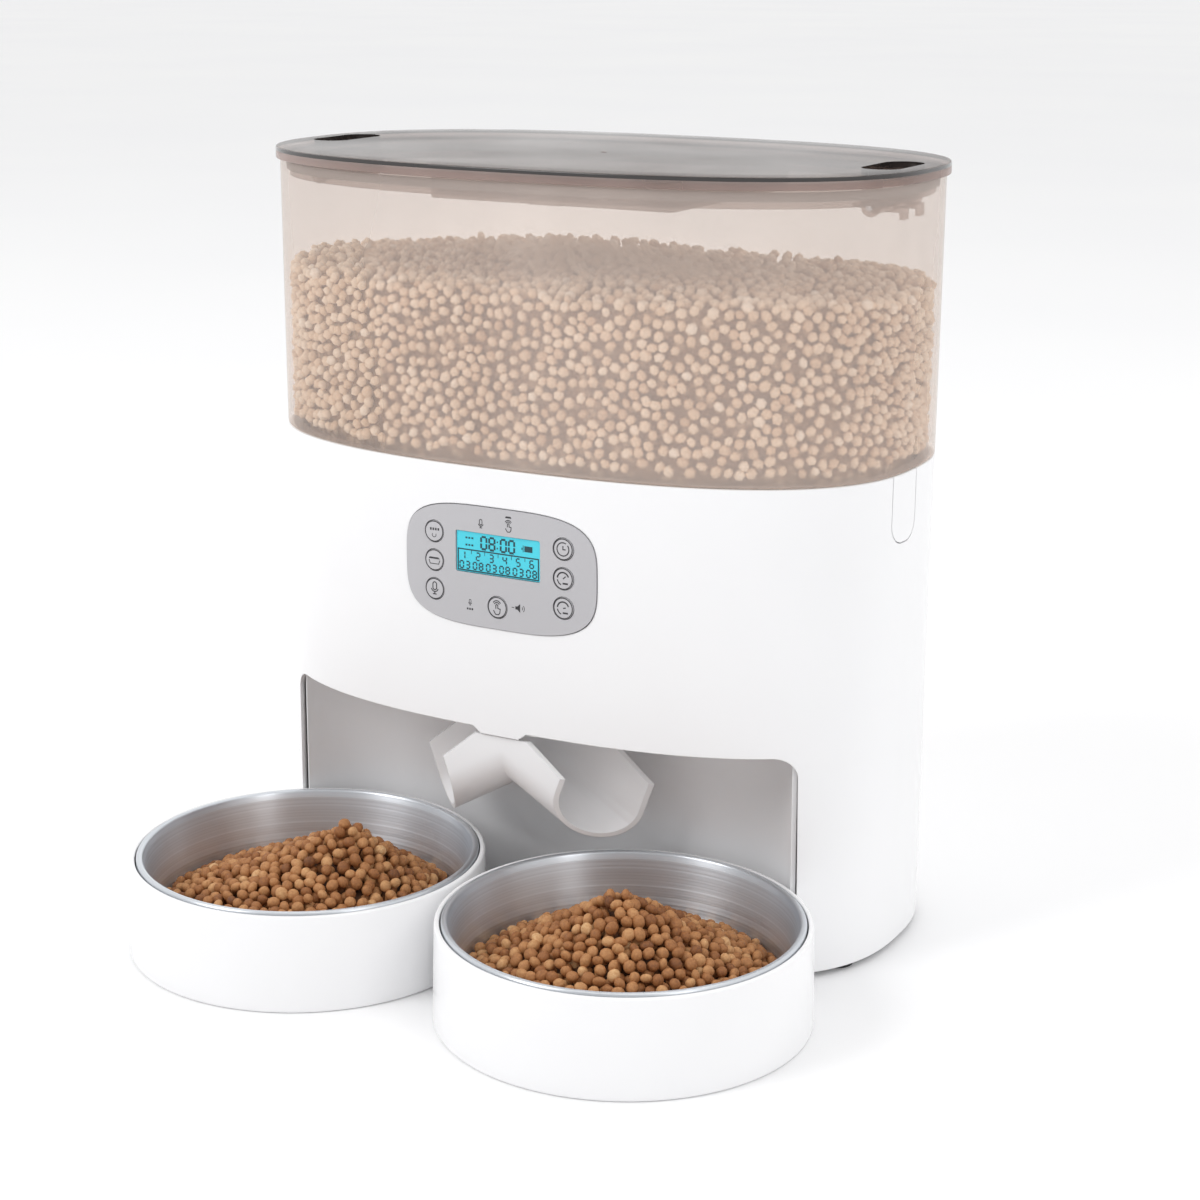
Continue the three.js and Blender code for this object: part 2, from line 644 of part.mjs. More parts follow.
function splitter() {
  const { far } = TROUGH_RUN;
  const half = (side) => {
    const outer = troughBore(side, TROUGH.wall);
    const [low, high] = side > 0 ? [0, far] : [-far, 0];
    const middle = box([low, -far, 0], [high, far, far]);
    const [lip, edge] = [LIP_CUT, EDGE_CUT].map(({ x, y, z, normal }) =>
      beyondPlane([side * x, y, z], [side * normal[0], normal[1], normal[2]]),
    );
    return cut(common(cut(outer, troughBore(side, 0)), middle), lip, edge);
  };
  const ceiling = box([-far, -far, TROUGH.top], [far, far, far]);
  return cut(join(half(1), half(-1)), ceiling);
}

add('chute_splitter', splitter(), WHITE);

// ---- control panel ------------------------------------------------------------------------------
const keys = [
  ['key_meal', -KEY.column, KEY.pitch],
  ['key_portion', -KEY.column, 0],
  ['key_record', -KEY.column, -KEY.pitch],
  ['key_clock', KEY.column, KEY.pitch],
  ['key_timer_up', KEY.column, 0],
  ['key_timer_down', KEY.column, -KEY.pitch],
  ['key_feed', 0, KEY.low],
];

function panelPlate() {
  const lcd = frontPrism(
    roundedRectangle(
      -LCD.width / 2,
      LCD.z - LCD.height / 2,
      LCD.width / 2,
      LCD.z + LCD.height / 2,
      LCD.corner,
      2,
    ),
    -FAR,
    -60,
  );
  const bores = keys.map(([, x, dz]) => cylinder('y', KEY.hole, -FAR, -60, [x, PANEL.z + dz], 16));
  const skin = (outer, inner) => cut(block(outer, 120, 210), block(inner, 110, 215));
  const rear = WALL + GAP;
  const face = common(frontPrism(panelOutline(0), -FAR, -40), skin(-PANEL.proud, rear + 1));
  const flange = common(frontPrism(panelOutline(PANEL.rim), -FAR, -40), skin(rear, rear + PANEL_BACK));
  return cut(join(face, flange), lcd, ...bores);
}

add('panel_plate', panelPlate(), GREY);

keys.forEach(([name, x, dz]) => {
  const z = PANEL.z + dz;
  const face = frontY(x, z, -PANEL.proud) - KEY.proud;
  const back = frontY(x, z, WALL + GAP + PANEL_BACK) + KEY_STEM.seat;
  const cap = cylinder('y', KEY.radius, face, back, [x, z], 16);
  const flange = cylinder('y', KEY.flange, back, back + KEY_STEM.flangeThick, [x, z], 12);
  const stem = cylinder('y', KEY_STEM.radius, back, KEY_STEM.back, [x, z], 6);
  add(name, join(cap, flange, stem), KEY_GREY);
});

function display() {
  const halfW = LCD.width / 2 - GAP;
  const halfH = LCD.height / 2 - GAP;
  const glass = box([-halfW, LCD.face, LCD.z - halfH], [halfW, LCD.back, LCD.z + halfH]);
  const { front, overX, overZ } = LCD_FRAME;
  const frame = box(
    [-halfW - overX, front, LCD.z - halfH - overZ],
    [halfW + overX, DISPLAY_BACK, LCD.z + halfH + overZ],
  );
  return join(glass, frame);
}

add('lcd_display', display(), SCREEN);
add('display_board', box(...DISPLAY_BOARD), BOARD);
add(
  'microphone',
  cylinder('y', MICROPHONE.radius, MICROPHONE.front, DISPLAY_BACK, [MICROPHONE.x, MICROPHONE.z], 16),
  BLACK,
);

// ---- hopper release tabs ------------------------------------------------------------------------
[-1, 1].forEach((side) => {
  const skin = cut(block(0, 150, JOINT_Z - GAP), block(WALL, 140, 230));
  add(`release_tab_${side < 0 ? 'left' : 'right'}`, common(skin, tabPrism(side, 0)), WHITE);
});

// ---- hopper -------------------------------------------------------------------------------------
const rimZ = TOP_Z - LID.plate - GAP;
const SPIGOT_INSET = 6.6;

function hopperTank() {
  return ringLoft([
    circleRing(DRUM.outer, DRUM.bottom),
    circleRing(DRUM.outer, DRUM.top),
    planRing(SPIGOT_INSET, 211),
    planRing(SPIGOT_INSET, JOINT_Z),
    planRing(0, JOINT_Z),
    planRing(0, rimZ),
    planRing(CLEAR_WALL, rimZ),
    planRing(CLEAR_WALL, JOINT_Z + 6),
    planRing(SPIGOT_INSET + 2.4, 212.5),
    circleRing(DRUM.inner, DRUM.top + 1.6),
    circleRing(DRUM.inner, DRUM.bottom),
  ]);
}

add('hopper_tank', hopperTank(), CLEAR);

function drumFloor() {
  const disc = cylinder('z', DRUM.inner - GAP, DRUM.bottom, DRUM.bottom + 2.4, [0, 0], 48);
  const outlet = box([-OUTLET.halfX, OUTLET.front, 100], [OUTLET.halfX, OUTLET.back, 150]);
  return cut(disc, outlet, cylinder('z', 8, 100, 150, [0, 0], 20));
}

add('drum_floor', drumFloor(), WHITE);

// The metering wheel: a hub on the hex shaft with vanes that sweep food round to the outlet.
function meteringWheel() {
  const hub = cylinder('z', WHEEL.hub, WHEEL.bottom, WHEEL.top, [0, 0], 24);
  const vane = new THREE.BoxGeometry(WHEEL.radius - 6, WHEEL.vaneThick, WHEEL.top - WHEEL.bottom);
  vane.translate((WHEEL.radius + 6) / 2, 0, (WHEEL.top + WHEEL.bottom) / 2);
  const vanes = Array.from({ length: WHEEL.vanes }, (_, i) =>
    toSolid(vane.clone().rotateZ((i * 2 * Math.PI) / WHEEL.vanes)),
  );
  return cut(join(hub, ...vanes), hexPrism(HEX_R + GAP, 100, WHEEL.top - 3.5));
}

add('metering_wheel', meteringWheel(), SILICONE);

function stirrer() {
  const low = WHEEL.top + GAP;
  const { coneTall, coneTop, armLong, armThick, armCentre, armRise } = STIRRER;
  const cone = cylinder('z', WHEEL.hub, low, low + coneTall, [0, 0], 24, coneTop);
  const arms = [0, 1, 2].map((i) => {
    const arm = new THREE.BoxGeometry(armLong, armThick, armThick);
    arm.translate(armCentre, 0, low + armRise);
    return toSolid(arm.rotateZ((i * 2 * Math.PI) / 3));
  });
  return join(cone, ...arms);
}

add('stirrer', stirrer(), SILICONE);

// ---- lid ----------------------------------------------------------------------------------------
const plateZ = TOP_Z - LID.plate;

function lid() {
  const plate = block(-LID.lip, plateZ, TOP_Z);
  const skirt = cut(block(-LID.lip, TOP_Z - LID.skirt, plateZ + 1), block(-GAP, 300, plateZ));
  const plugLow = plateZ - LID.plugDepth;
  const plug = cut(
    block(LID.plugInset, plugLow, plateZ + 1),
    block(LID.plugInset + LID.plugWall, plugLow - 1, plateZ),
  );
  const { x, halfX, halfY, bottom, wall } = DRY_BOX;
  const dryWalls = cut(
    roundedBox(x - halfX, -halfY, x + halfX, halfY, 3, bottom, plateZ + 1),
    roundedBox(x - halfX + wall, -halfY + wall, x + halfX - wall, halfY - wall, 2, 300, plateZ),
  );
  const slots = [-SLOT.x, SLOT.x].map((at) =>
    roundedBox(at - SLOT.halfX, -SLOT.halfY, at + SLOT.halfX, SLOT.halfY, SLOT.corner, 300, 400),
  );
  const lugs = [-1, 1].flatMap((side) =>
    [-1, 1].map((end) => {
      const y = end * (LATCH.halfY + LATCH.lug / 2 + LATCH.lugHalf);
      const x = side * LATCH.x;
      return cut(
        box(
          [x - LATCH.lugHalf, y - LATCH.lug / 2, LATCH.z - LATCH.lugHalf],
          [x + LATCH.lugHalf, y + LATCH.lug / 2, plateZ + 1],
        ),
        cylinder('y', LATCH.pin + GAP, -60, 60, [x, LATCH.z], 12),
      );
    }),
  );
  return join(cut(join(plate, skirt, plug, dryWalls), ...slots), ...lugs);
}

add('lid', lid(), SMOKE);

function lidGasket() {
  const low = plateZ - 8;
  return cut(
    block(CLEAR_WALL + GAP, low, low + 4),
    block(LID.plugInset - GAP, low - 1, low + 5),
  );
}

add('lid_gasket', lidGasket(), SILICONE);

function dryDoor() {
  const { x, halfX, halfY, bottom, door } = DRY_BOX;
  const top = bottom - GAP;
  const plate = roundedBox(x - halfX, -halfY, x + halfX, halfY, 3, top - door, top);
  const vents = VENT.steps.map((i) => {
    const at = x + i * VENT.pitch;
    return roundedBox(at - VENT.halfX, -VENT.halfY, at + VENT.halfX, VENT.halfY, VENT.corner, 300, 340);
  });
  const low = [x - SNAP.halfX, -halfY - SNAP.reach, top - door];
  const tab = box(low, [x + SNAP.halfX, -halfY - GAP, top + SNAP.rise]);
  const foot = box(low, [x + SNAP.halfX, -halfY + SNAP.under, top]);
  return join(cut(plate, ...vents), tab, foot);
}

add('desiccant_cover', dryDoor(), SMOKE);

[-1, 1].forEach((side) => {
  const name = side < 0 ? 'left' : 'right';
  const x = side * LATCH.x;
  const pinHalf = LATCH.halfY + LATCH.lug + LATCH.pinOver;
  add(`latch_pin_${name}`, cylinder('y', LATCH.pin, -pinHalf, pinHalf, [x, LATCH.z], 12), STEEL_PAINT);

  const span = (from, to) => [Math.min(side * from, side * to), Math.max(side * from, side * to)];
  const sleeve = cylinder('y', LATCH.sleeve, -LATCH.halfY, LATCH.halfY, [x, LATCH.z], 16);
  const [gripLow, gripHigh] = span(LATCH.x - LATCH_GRIP.reach, LATCH.x);
  const grip = box(
    [gripLow, -LATCH.halfY, LATCH.z - LATCH_GRIP.half],
    [gripHigh, LATCH.halfY, LATCH.z + LATCH_GRIP.half],
  );
  const { half, reach, nose, drop, low, high } = LATCH_HOOK;
  const arms = (from, bottom) => {
    const [near, far] = span(LATCH.x + from, LATCH.x + reach);
    return [-LATCH_HOOK.y, LATCH_HOOK.y].map((y) =>
      box([near, y - half, LATCH.z - bottom], [far, y + half, LATCH.z - high]),
    );
  };
  const lever = cut(
    join(sleeve, grip, ...arms(0, low), ...arms(reach - nose, drop)),
    cylinder('y', LATCH.pin + GAP, -60, 60, [x, LATCH.z], 12),
  );
  add(`lid_latch_${name}`, lever, CLEAR);
});

// ---- bowls --------------------------------------------------------------------------------------
[-1, 1].forEach((side) => {
  const name = side < 0 ? 'left' : 'right';
  const { baseR, rimR, height, wall, segments } = BOWL;
  const { foot, rim, draft, floor } = BOWL_EDGE;
  const stand = [
    [0, 0],
    [baseR - foot, 0],
    [baseR, foot],
    [rimR, height - rim],
    [rimR - rim, height],
    [rimR - wall, height],
    [baseR - wall - draft, floor],
    [0, floor],
  ];
  add(`bowl_stand_${name}`, turned(stand, side * BOWL.x, BOWL.y, segments), WHITE);
  const { rimR: steelR, floorR, floorZ, rimZ: steelZ, thick } = STEEL;
  const { out, up, upInside, neck, neckZ } = STEEL_CURVE;
  const bowl = [
    [0, floorZ],
    [floorR, floorZ],
    [floorR + out, floorZ + up],
    [steelR - neck, steelZ - neckZ],
    [steelR, steelZ - STEEL_ROLL.low],
    [steelR, steelZ - STEEL_ROLL.high],
    [steelR - STEEL_ROLL.width, steelZ],
    [steelR - neck - thick, steelZ - neckZ],
    [floorR + out - thick, floorZ + upInside],
    [floorR - thick / 2, floorZ + thick],
    [0, floorZ + thick],
  ];
  add(`steel_bowl_${name}`, turned(bowl, side * BOWL.x, BOWL.y, segments), STEEL_PAINT);
});

export default feeder;
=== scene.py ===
"""Automatic pet feeder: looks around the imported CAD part. Lengths are millimetres from the housing's
vertical axis until a mesh is settled into the frame, which is in metres."""

import math

import bmesh
import bpy
import numpy as np
from mathutils import Matrix, Vector


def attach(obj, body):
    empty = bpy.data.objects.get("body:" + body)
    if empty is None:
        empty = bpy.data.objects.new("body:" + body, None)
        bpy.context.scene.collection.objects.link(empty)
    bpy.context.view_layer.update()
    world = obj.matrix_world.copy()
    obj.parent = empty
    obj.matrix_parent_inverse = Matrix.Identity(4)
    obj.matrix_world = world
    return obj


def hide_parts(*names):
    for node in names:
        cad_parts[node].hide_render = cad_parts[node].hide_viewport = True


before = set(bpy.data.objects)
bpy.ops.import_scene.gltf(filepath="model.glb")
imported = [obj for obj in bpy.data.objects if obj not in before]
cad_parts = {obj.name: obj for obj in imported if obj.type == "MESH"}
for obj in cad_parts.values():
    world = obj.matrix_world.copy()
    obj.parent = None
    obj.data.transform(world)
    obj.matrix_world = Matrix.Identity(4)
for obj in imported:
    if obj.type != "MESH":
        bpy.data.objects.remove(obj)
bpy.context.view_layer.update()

# ---- sizes, as in the CAD --------------------------------------------------------------------
MM = 0.001
BODY_Y = 53.8
HALF_WIDTH, HALF_DEPTH = 155.0, 94.1
POWER_X, POWER_Y = 2.53, 2.57
JOINT_Z, TOP_Z = 217.6, 347.8
GROW_TOP, SHRINK_BASE = 0.0142, 0.022
GAP, WALL, CLEAR_WALL = 0.3, 2.6, 2.4
BASE_Z = 2.5
PLAN_POINTS, CURVE_STEPS = 240, 2881
ARCH_HALF, ARCH_TOP, ARCH_CORNER, ARCH_BACK, ARCH_BACK_CORNER, LINER = 129, 100.5, 9, -36, 40, 2.2
TONGUE_TOP, TONGUE_BOTTOM, TONGUE_Z = 13.5, 9.5, 97.5
TAB_Y, TAB_HALF, TAB_LOW, TAB_CORNER, TAB_GAP = -11, 11, 187, 9, 0.45
PANEL_Z, PANEL_HALF_W, PANEL_HALF_H, PANEL_POWER, PANEL_PROUD = 173.2, 47.9, 26.9, 3.6, 0.6
PANEL_POINTS = 120
KEY_R, KEY_HOLE, KEY_FLANGE = 4.8, 5.1, 6.0
LCD_Z, LCD_W, LCD_H, LCD_FACE = 179.1, 42.6, 18.5, -93.5
SPIGOT_INSET, DRUM_INNER, DRUM_OUTER, DRUM_LOW, DRUM_TOP = 6.6, 50, 52.4, 134, 160
LID_LIP, LID_PLATE, LID_SKIRT, PLUG_INSET, PLUG_DEPTH = 1.8, 2.8, 5.6, 4.1, 11
LID_EDGE_DEPTH = 1.9
PLATE_Z = TOP_Z - LID_PLATE
RIM_Z = PLATE_Z - GAP
SLOT_X, SLOT_HALF_X, SLOT_HALF_Y, SLOT_CORNER = 141, 9, 21, 8.9
LATCH_X, LATCH_Y, LATCH_Z, LATCH_R = 141, 23.5, 332, 4
DRY_X, DRY_HALF_X, DRY_HALF_Y, DRY_LOW = 5, 61, 60, 330.9
BOWL_X, BOWL_Y = 79.8, -125.5
FOOD_TOP = 293.5
FAR = 200
ABOVE_BASE = 5.3
SIDES = ((-1, "left"), (1, "right"))

KEYS = {
    "key_meal": (-32.5, 13),
    "key_portion": (-32.5, 0),
    "key_record": (-32.5, -13),
    "key_clock": (32.5, 13),
    "key_timer_up": (32.5, 0),
    "key_timer_down": (32.5, -13),
    "key_feed": (0, -17),
}


# ---- mesh tools ------------------------------------------------------------------------------
def placed(name, data):
    """A new object in the scene."""
    obj = bpy.data.objects.new(name, data)
    bpy.context.scene.collection.objects.link(obj)
    return obj


def paint(mesh, *looks):
    mesh.materials.clear()
    for look in looks:
        mesh.materials.append(look)


def solid(name, points, faces):
    """A new mesh object from points in millimetres."""
    mesh = bpy.data.meshes.new(name)
    mesh.from_pydata(np.asarray(points, float).tolist(), [], [list(map(int, f)) for f in faces])
    mesh.update()
    return placed(name, mesh)


def apply_modifiers(obj):
    graph = bpy.context.evaluated_depsgraph_get()
    mesh = bpy.data.meshes.new_from_object(obj.evaluated_get(graph), depsgraph=graph)
    obj.modifiers.clear()
    obj.data = mesh
    return obj


def outward(obj):
    """Turns every face of a closed mesh to look out."""
    mesh = bmesh.new()
    mesh.from_mesh(obj.data)
    bmesh.ops.recalc_face_normals(mesh, faces=mesh.faces)
    mesh.to_mesh(obj.data)
    mesh.free()
    return obj


def combine(obj, operation, *tools):
    """Boolean of obj with each tool in turn. The tools are used up."""
    outward(obj)
    for tool in tools:
        outward(tool)
        step = obj.modifiers.new("step", "BOOLEAN")
        step.operation = operation
        step.solver = "EXACT"
        step.object = tool
        apply_modifiers(obj)
        bpy.data.objects.remove(tool)
    return obj


def bevel(obj, width, segments=3, angle=40):
    step = obj.modifiers.new("bevel", "BEVEL")
    step.width = width
    step.segments = segments
    step.limit_method = "ANGLE"
    step.angle_limit = math.radians(angle)
    step.harden_normals = False
    return apply_modifiers(obj)


def skin(rings, closed=True, caps=False):
    """Points and faces of a surface through rings of equally many points."""
    count = len(rings[0])
    faces = []
    for r in range(len(rings) if closed else len(rings) - 1):
        s = (r + 1) % len(rings)
        for i in range(count):
            j = (i + 1) % count
            faces.append((r * count + i, r * count + j, s * count + j, s * count + i))
    if caps:
        faces.append(tuple(range(count - 1, -1, -1)))
        faces.append(tuple(range((len(rings) - 1) * count, len(rings) * count)))
    return np.concatenate(rings), faces


def prism(outline, low, high, axis="z"):
    """A flat outline pushed between two stations along z, y (outline in x, z) or x (outline in y, z)."""
    flat = np.asarray(outline, float)
    order = {"z": lambda h: (flat[:, 0], flat[:, 1], h), "y": lambda h: (flat[:, 0], h, flat[:, 1]),
             "x": lambda h: (h, flat[:, 0], flat[:, 1])}[axis]
    rings = [np.column_stack(order(np.full(len(flat), float(h)))) for h in (low, high)]
    points, faces = skin(rings, closed=False, caps=True)
    if axis == "y":
        faces = [f[::-1] for f in faces]
    return solid("tool", points, faces)


def corners(x0, y0, x1, y1):
    return [(x0, y0), (x1, y0), (x1, y1), (x0, y1)]


def box(low, high):
    return prism(corners(low[0], low[1], high[0], high[1]), low[2], high[2])


def arc(cx, cy, radius, start, end, steps=12):
    turn = np.radians(np.linspace(start, end, steps + 1))
    return [(cx + radius * math.cos(t), cy + radius * math.sin(t)) for t in turn]


def rounded_rectangle(x0, y0, x1, y1, radius, steps=8):
    out = []
    middles = corners(x0 + radius, y0 + radius, x1 - radius, y1 - radius)
    for quarter, (x, y) in enumerate(middles[2:] + middles[:2]):
        out += arc(x, y, radius, quarter * 90, quarter * 90 + 90, steps)
    return out


def rounded(profile, closed=True, steps=4):
    """A profile of (u, v, radius) corners with each corner turned into an arc."""
    out, count = [], len(profile)
    for i, (u, v, radius) in enumerate(profile):
        here = np.array([u, v], float)
        if radius <= 0 or (not closed and i in (0, count - 1)):
            out.append(here)
            continue
        before = np.array(profile[i - 1][:2], float) - here
        after = np.array(profile[(i + 1) % count][:2], float) - here
        room = 0.48 * min(np.linalg.norm(before), np.linalg.norm(after))
        before, after = before / np.linalg.norm(before), after / np.linalg.norm(after)
        half = math.acos(max(-1, min(1, before @ after))) / 2
        reach = min(radius / math.tan(half), room)
        size = reach * math.tan(half)
        middle = (before + after) / np.linalg.norm(before + after)
        centre = here + middle * size / math.sin(half)
        a, b = here + before * reach - centre, here + after * reach - centre
        sweep = math.acos(max(-1, min(1, (a @ b) / (size * size))))
        for k in range(steps + 1):
            t = k / steps
            out.append(centre + (math.sin((1 - t) * sweep) * a + math.sin(t * sweep) * b) / math.sin(sweep))
    return [tuple(p) for p in out]


def plan_scale(z):
    z = np.asarray(z, float)
    grown = 1 + GROW_TOP * (z - JOINT_Z) / (TOP_Z - JOINT_Z)
    return np.where(z >= JOINT_Z, grown, 1 - SHRINK_BASE * (JOINT_Z - z) / JOINT_Z)


def superellipse(a, b, p, q, count):
    """Evenly spaced points of |x/a|^p + |y/b|^q = 1, from +X round by +Y."""
    t = np.linspace(0, 2 * np.pi, CURVE_STEPS)
    x = a * np.sign(np.cos(t)) * np.abs(np.cos(t)) ** (2 / p)
    y = b * np.sign(np.sin(t)) * np.abs(np.sin(t)) ** (2 / q)
    run = np.concatenate([[0], np.cumsum(np.hypot(np.diff(x), np.diff(y)))])
    at = np.linspace(0, 1, count, endpoint=False) * run[-1]
    return np.column_stack([np.interp(at, run, x), np.interp(at, run, y)])


def plan_ring(inset, z, count=PLAN_POINTS):
    flat = superellipse(HALF_WIDTH - inset, HALF_DEPTH - inset, POWER_X, POWER_Y, count)
    return np.column_stack([flat * float(plan_scale(z)), np.full(count, float(z))])


def plan_rings(profile):
    return [plan_ring(inset, z) for inset, z in profile]


def circle_ring(radius, z, count=PLAN_POINTS, cx=0.0, cy=0.0):
    flat = superellipse(radius, radius, 2, 2, count) + (cx, cy)
    return np.column_stack([flat, np.full(count, float(z))])


def front_y(x, z, inset=0.0):
    scale = plan_scale(z)
    across = np.abs(x) / ((HALF_WIDTH - inset) * scale)
    return -(HALF_DEPTH - inset) * scale * (1 - across**POWER_X) ** (1 / POWER_Y)


def block(inset, low, high, count=PLAN_POINTS):
    points, faces = skin([plan_ring(inset, low, count), plan_ring(inset, high, count)], False, True)
    return solid("tool", points, faces)


def turned(profile, x, y, segments):
    """A closed profile of (radius, z) turned about the upright line at x, y. Its two ends are capped flat."""
    points, faces = skin([circle_ring(r, z, segments, x, y) for r, z in profile], False, True)
    return solid("tool", points, faces)


def plan_normals(points, inset):
    """The outward normal of the plan surface at that inset, and how far off it each point is."""
    scale = plan_scale(points[:, 2])
    a, b = (HALF_WIDTH - inset) * scale, (HALF_DEPTH - inset) * scale
    u, v = np.abs(points[:, 0]) / a, np.abs(points[:, 1]) / b
    nx = POWER_X / a * u ** (POWER_X - 1) * np.sign(points[:, 0])
    ny = POWER_Y / b * v ** (POWER_Y - 1) * np.sign(points[:, 1])
    slope = np.where(points[:, 2] >= JOINT_Z, GROW_TOP / (TOP_Z - JOINT_Z), SHRINK_BASE / JOINT_Z)
    nz = -(points[:, 0] * nx + points[:, 1] * ny) * slope / scale
    n = np.column_stack([nx, ny, nz])
    return n / np.maximum(np.linalg.norm(n, axis=1), 1e-9)[:, None], np.abs(u**POWER_X + v**POWER_Y - 1)


# a corner takes the exact normal when it is this near the surface and its face looks this much the same way
ON_SURFACE, SAME_WAY = 0.006, 0.9


def read(items, name, width=1, kind=float):
    """One attribute of every mesh element."""
    values = np.zeros(len(items) * width, kind)
    items.foreach_get(name, values)
    return values.reshape(-1, width) if width > 1 else values


def shade(mesh, angle, surfaces):
    """Smooth shading up to an angle, with exact normals where faces lie on a plan surface."""
    mesh.polygons.foreach_set("use_smooth", [True] * len(mesh.polygons))
    mesh.set_sharp_from_angle(angle=math.radians(angle))
    if not surfaces:
        return
    points = read(mesh.vertices, "co", 3) / MM - (0, BODY_Y, 0)
    corner = read(mesh.loops, "vertex_index", kind=int)
    starts = read(mesh.polygons, "loop_start", kind=int)
    face = np.repeat(np.arange(len(mesh.polygons)), read(mesh.polygons, "loop_total", kind=int))
    flat = read(mesh.polygons, "normal", 3)
    normals = read(mesh.corner_normals, "vector", 3)
    for inset, side in surfaces:
        exact, off = plan_normals(points, inset)
        facing = np.einsum("ij,ij->i", flat[face], exact[corner]) * side
        near = (off[corner] < ON_SURFACE) & (facing > SAME_WAY)
        chosen = np.minimum.reduceat(near.astype(int), starts)[face] > 0
        normals[chosen] = exact[corner][chosen] * side
    mesh.normals_split_custom_set(normals.tolist())


def settle(obj, name, body, look, stands_for=(), angle=35, surfaces=()):
    """Puts a finished millimetre mesh into the frame, shades it, paints it and makes it ride."""
    obj.name = obj.data.name = name
    obj.data.transform(Matrix.Translation((0, BODY_Y * MM, 0)) @ Matrix.Diagonal((MM, MM, MM, 1)))
    obj.data.update()
    shade(obj.data, angle, surfaces)
    if look is not None:
        paint(obj.data, look)
    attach(obj, body)
    if stands_for:
        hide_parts(*stands_for)
    return obj


# ---- materials -------------------------------------------------------------------------------
NOISE_LOW, NOISE_HIGH = 0.3, 0.7


def linear(rgb):
    """8-bit display colour to linear."""
    c = np.asarray(rgb, float) / 255
    return tuple(np.where(c <= 0.04045, c / 12.92, ((c + 0.055) / 1.055) ** 2.4)) + (1.0,)


class Look:
    """A material and short calls to wire its nodes."""

    def __init__(self, name):
        self.material = bpy.data.materials.new(name)
        self.material.use_nodes = True
        self.tree = self.material.node_tree
        self.tree.nodes.clear()
        self.output = self.node("OutputMaterial")
        self.place = self.node("TexCoord").outputs["Object"]

    def node(self, kind, settings=None, **inputs):
        made = self.tree.nodes.new("ShaderNode" + kind)
        for key, value in (settings or {}).items():
            setattr(made, key, value)
        for key, value in inputs.items():
            self.put(made.inputs[key.replace("_", " ")], value)
        return made

    def put(self, socket, value):
        if isinstance(value, bpy.types.NodeSocket):
            self.tree.links.new(value, socket)
        else:
            socket.default_value = value

    def stretched(self, x, y, z):
        made = self.node("Mapping", Vector=self.place)
        made.inputs["Scale"].default_value = (x, y, z)
        return made.outputs["Vector"]

    def noise(self, scale, detail=3.0, roughness=0.55, place=None):
        """Soft noise of that many features to the metre, from 0 to 1."""
        made = self.node("TexNoise", Vector=place or self.place, Scale=scale, Detail=detail,
                         Roughness=roughness)
        return made.outputs["Fac"]

    def cells(self, scale):
        return self.node("TexVoronoi", Vector=self.place, Scale=scale).outputs["Distance"]

    def spread(self, value, low, high):
        """Noise's usual range stretched to run from low to high."""
        made = self.node("MapRange", Value=value)
        numbers = {"From Min": NOISE_LOW, "From Max": NOISE_HIGH, "To Min": low, "To Max": high}
        for key, number in numbers.items():
            made.inputs[key].default_value = number
        return made.outputs["Result"]

    def ramp(self, value, *stops):
        made = self.node("ValToRGB", Fac=value)
        while len(made.color_ramp.elements) < len(stops):
            made.color_ramp.elements.new(0.5)
        for element, (at, colour) in zip(made.color_ramp.elements, stops):
            element.position = at
            element.color = colour
        return made.outputs["Color"]

    def tones(self, value, rgb, spread):
        """A display colour that runs that share darker and lighter with a noise."""
        c = np.asarray(rgb, float)
        dark, light = [linear(np.clip(c * factor, 0, 255)) for factor in (1 - spread, 1 + spread)]
        return self.ramp(value, (NOISE_LOW, dark), (NOISE_HIGH, light))

    def calc(self, operation, *values):
        made = self.node("Math", {"operation": operation})
        for socket, value in zip(made.inputs, values):
            self.put(socket, value)
        return made.outputs[0]

    def blend(self, share, a, b, kind="MIX"):
        """Two colours mixed."""
        made = self.node("Mix", {"data_type": "RGBA", "blend_type": kind})
        for socket, value in ((0, share), (6, a), (7, b)):
            self.put(made.inputs[socket], value)
        return made.outputs[2]

    def bump(self, height, distance, strength=1.0, after=None):
        made = self.node("Bump", Height=height, Distance=distance, Strength=strength)
        if after is not None:
            self.put(made.inputs["Normal"], after)
        return made.outputs["Normal"]

    def eased(self, radius):
        """Normals that round the sharp edges a little, as moulding does."""
        return self.node("Bevel", {"samples": 4}, Radius=radius).outputs["Normal"]

    def principled(self, **inputs):
        return self.node("BsdfPrincipled", **inputs).outputs[0]

    def mix(self, share, a, b):
        made = self.node("MixShader")
        for socket, value in zip(made.inputs, (share, a, b)):
            self.put(socket, value)
        return made.outputs[0]

    def finish(self, shader):
        self.put(self.output.inputs["Surface"], shader)
        return self.material


def moulded(name, rgb, rough, spread=0.012, grain=0.00001, edge=0.0, **extra):
    """Injection-moulded plastic: faint flow tone, fine surface grain, uneven gloss."""
    look = Look(name)
    tone = look.tones(look.noise(9.0, 2.0), rgb, spread)
    gloss = look.spread(look.noise(70.0, 4.0), rough * 0.85, rough * 1.15)
    around = look.eased(edge) if edge else None
    normal = look.bump(look.noise(1100.0, 2.0), grain, 0.5, around)
    normal = look.bump(look.noise(24.0, 1.0), 0.00005, 0.25, normal)
    return look.finish(look.principled(Base_Color=tone, Roughness=gloss, Normal=normal, **extra))


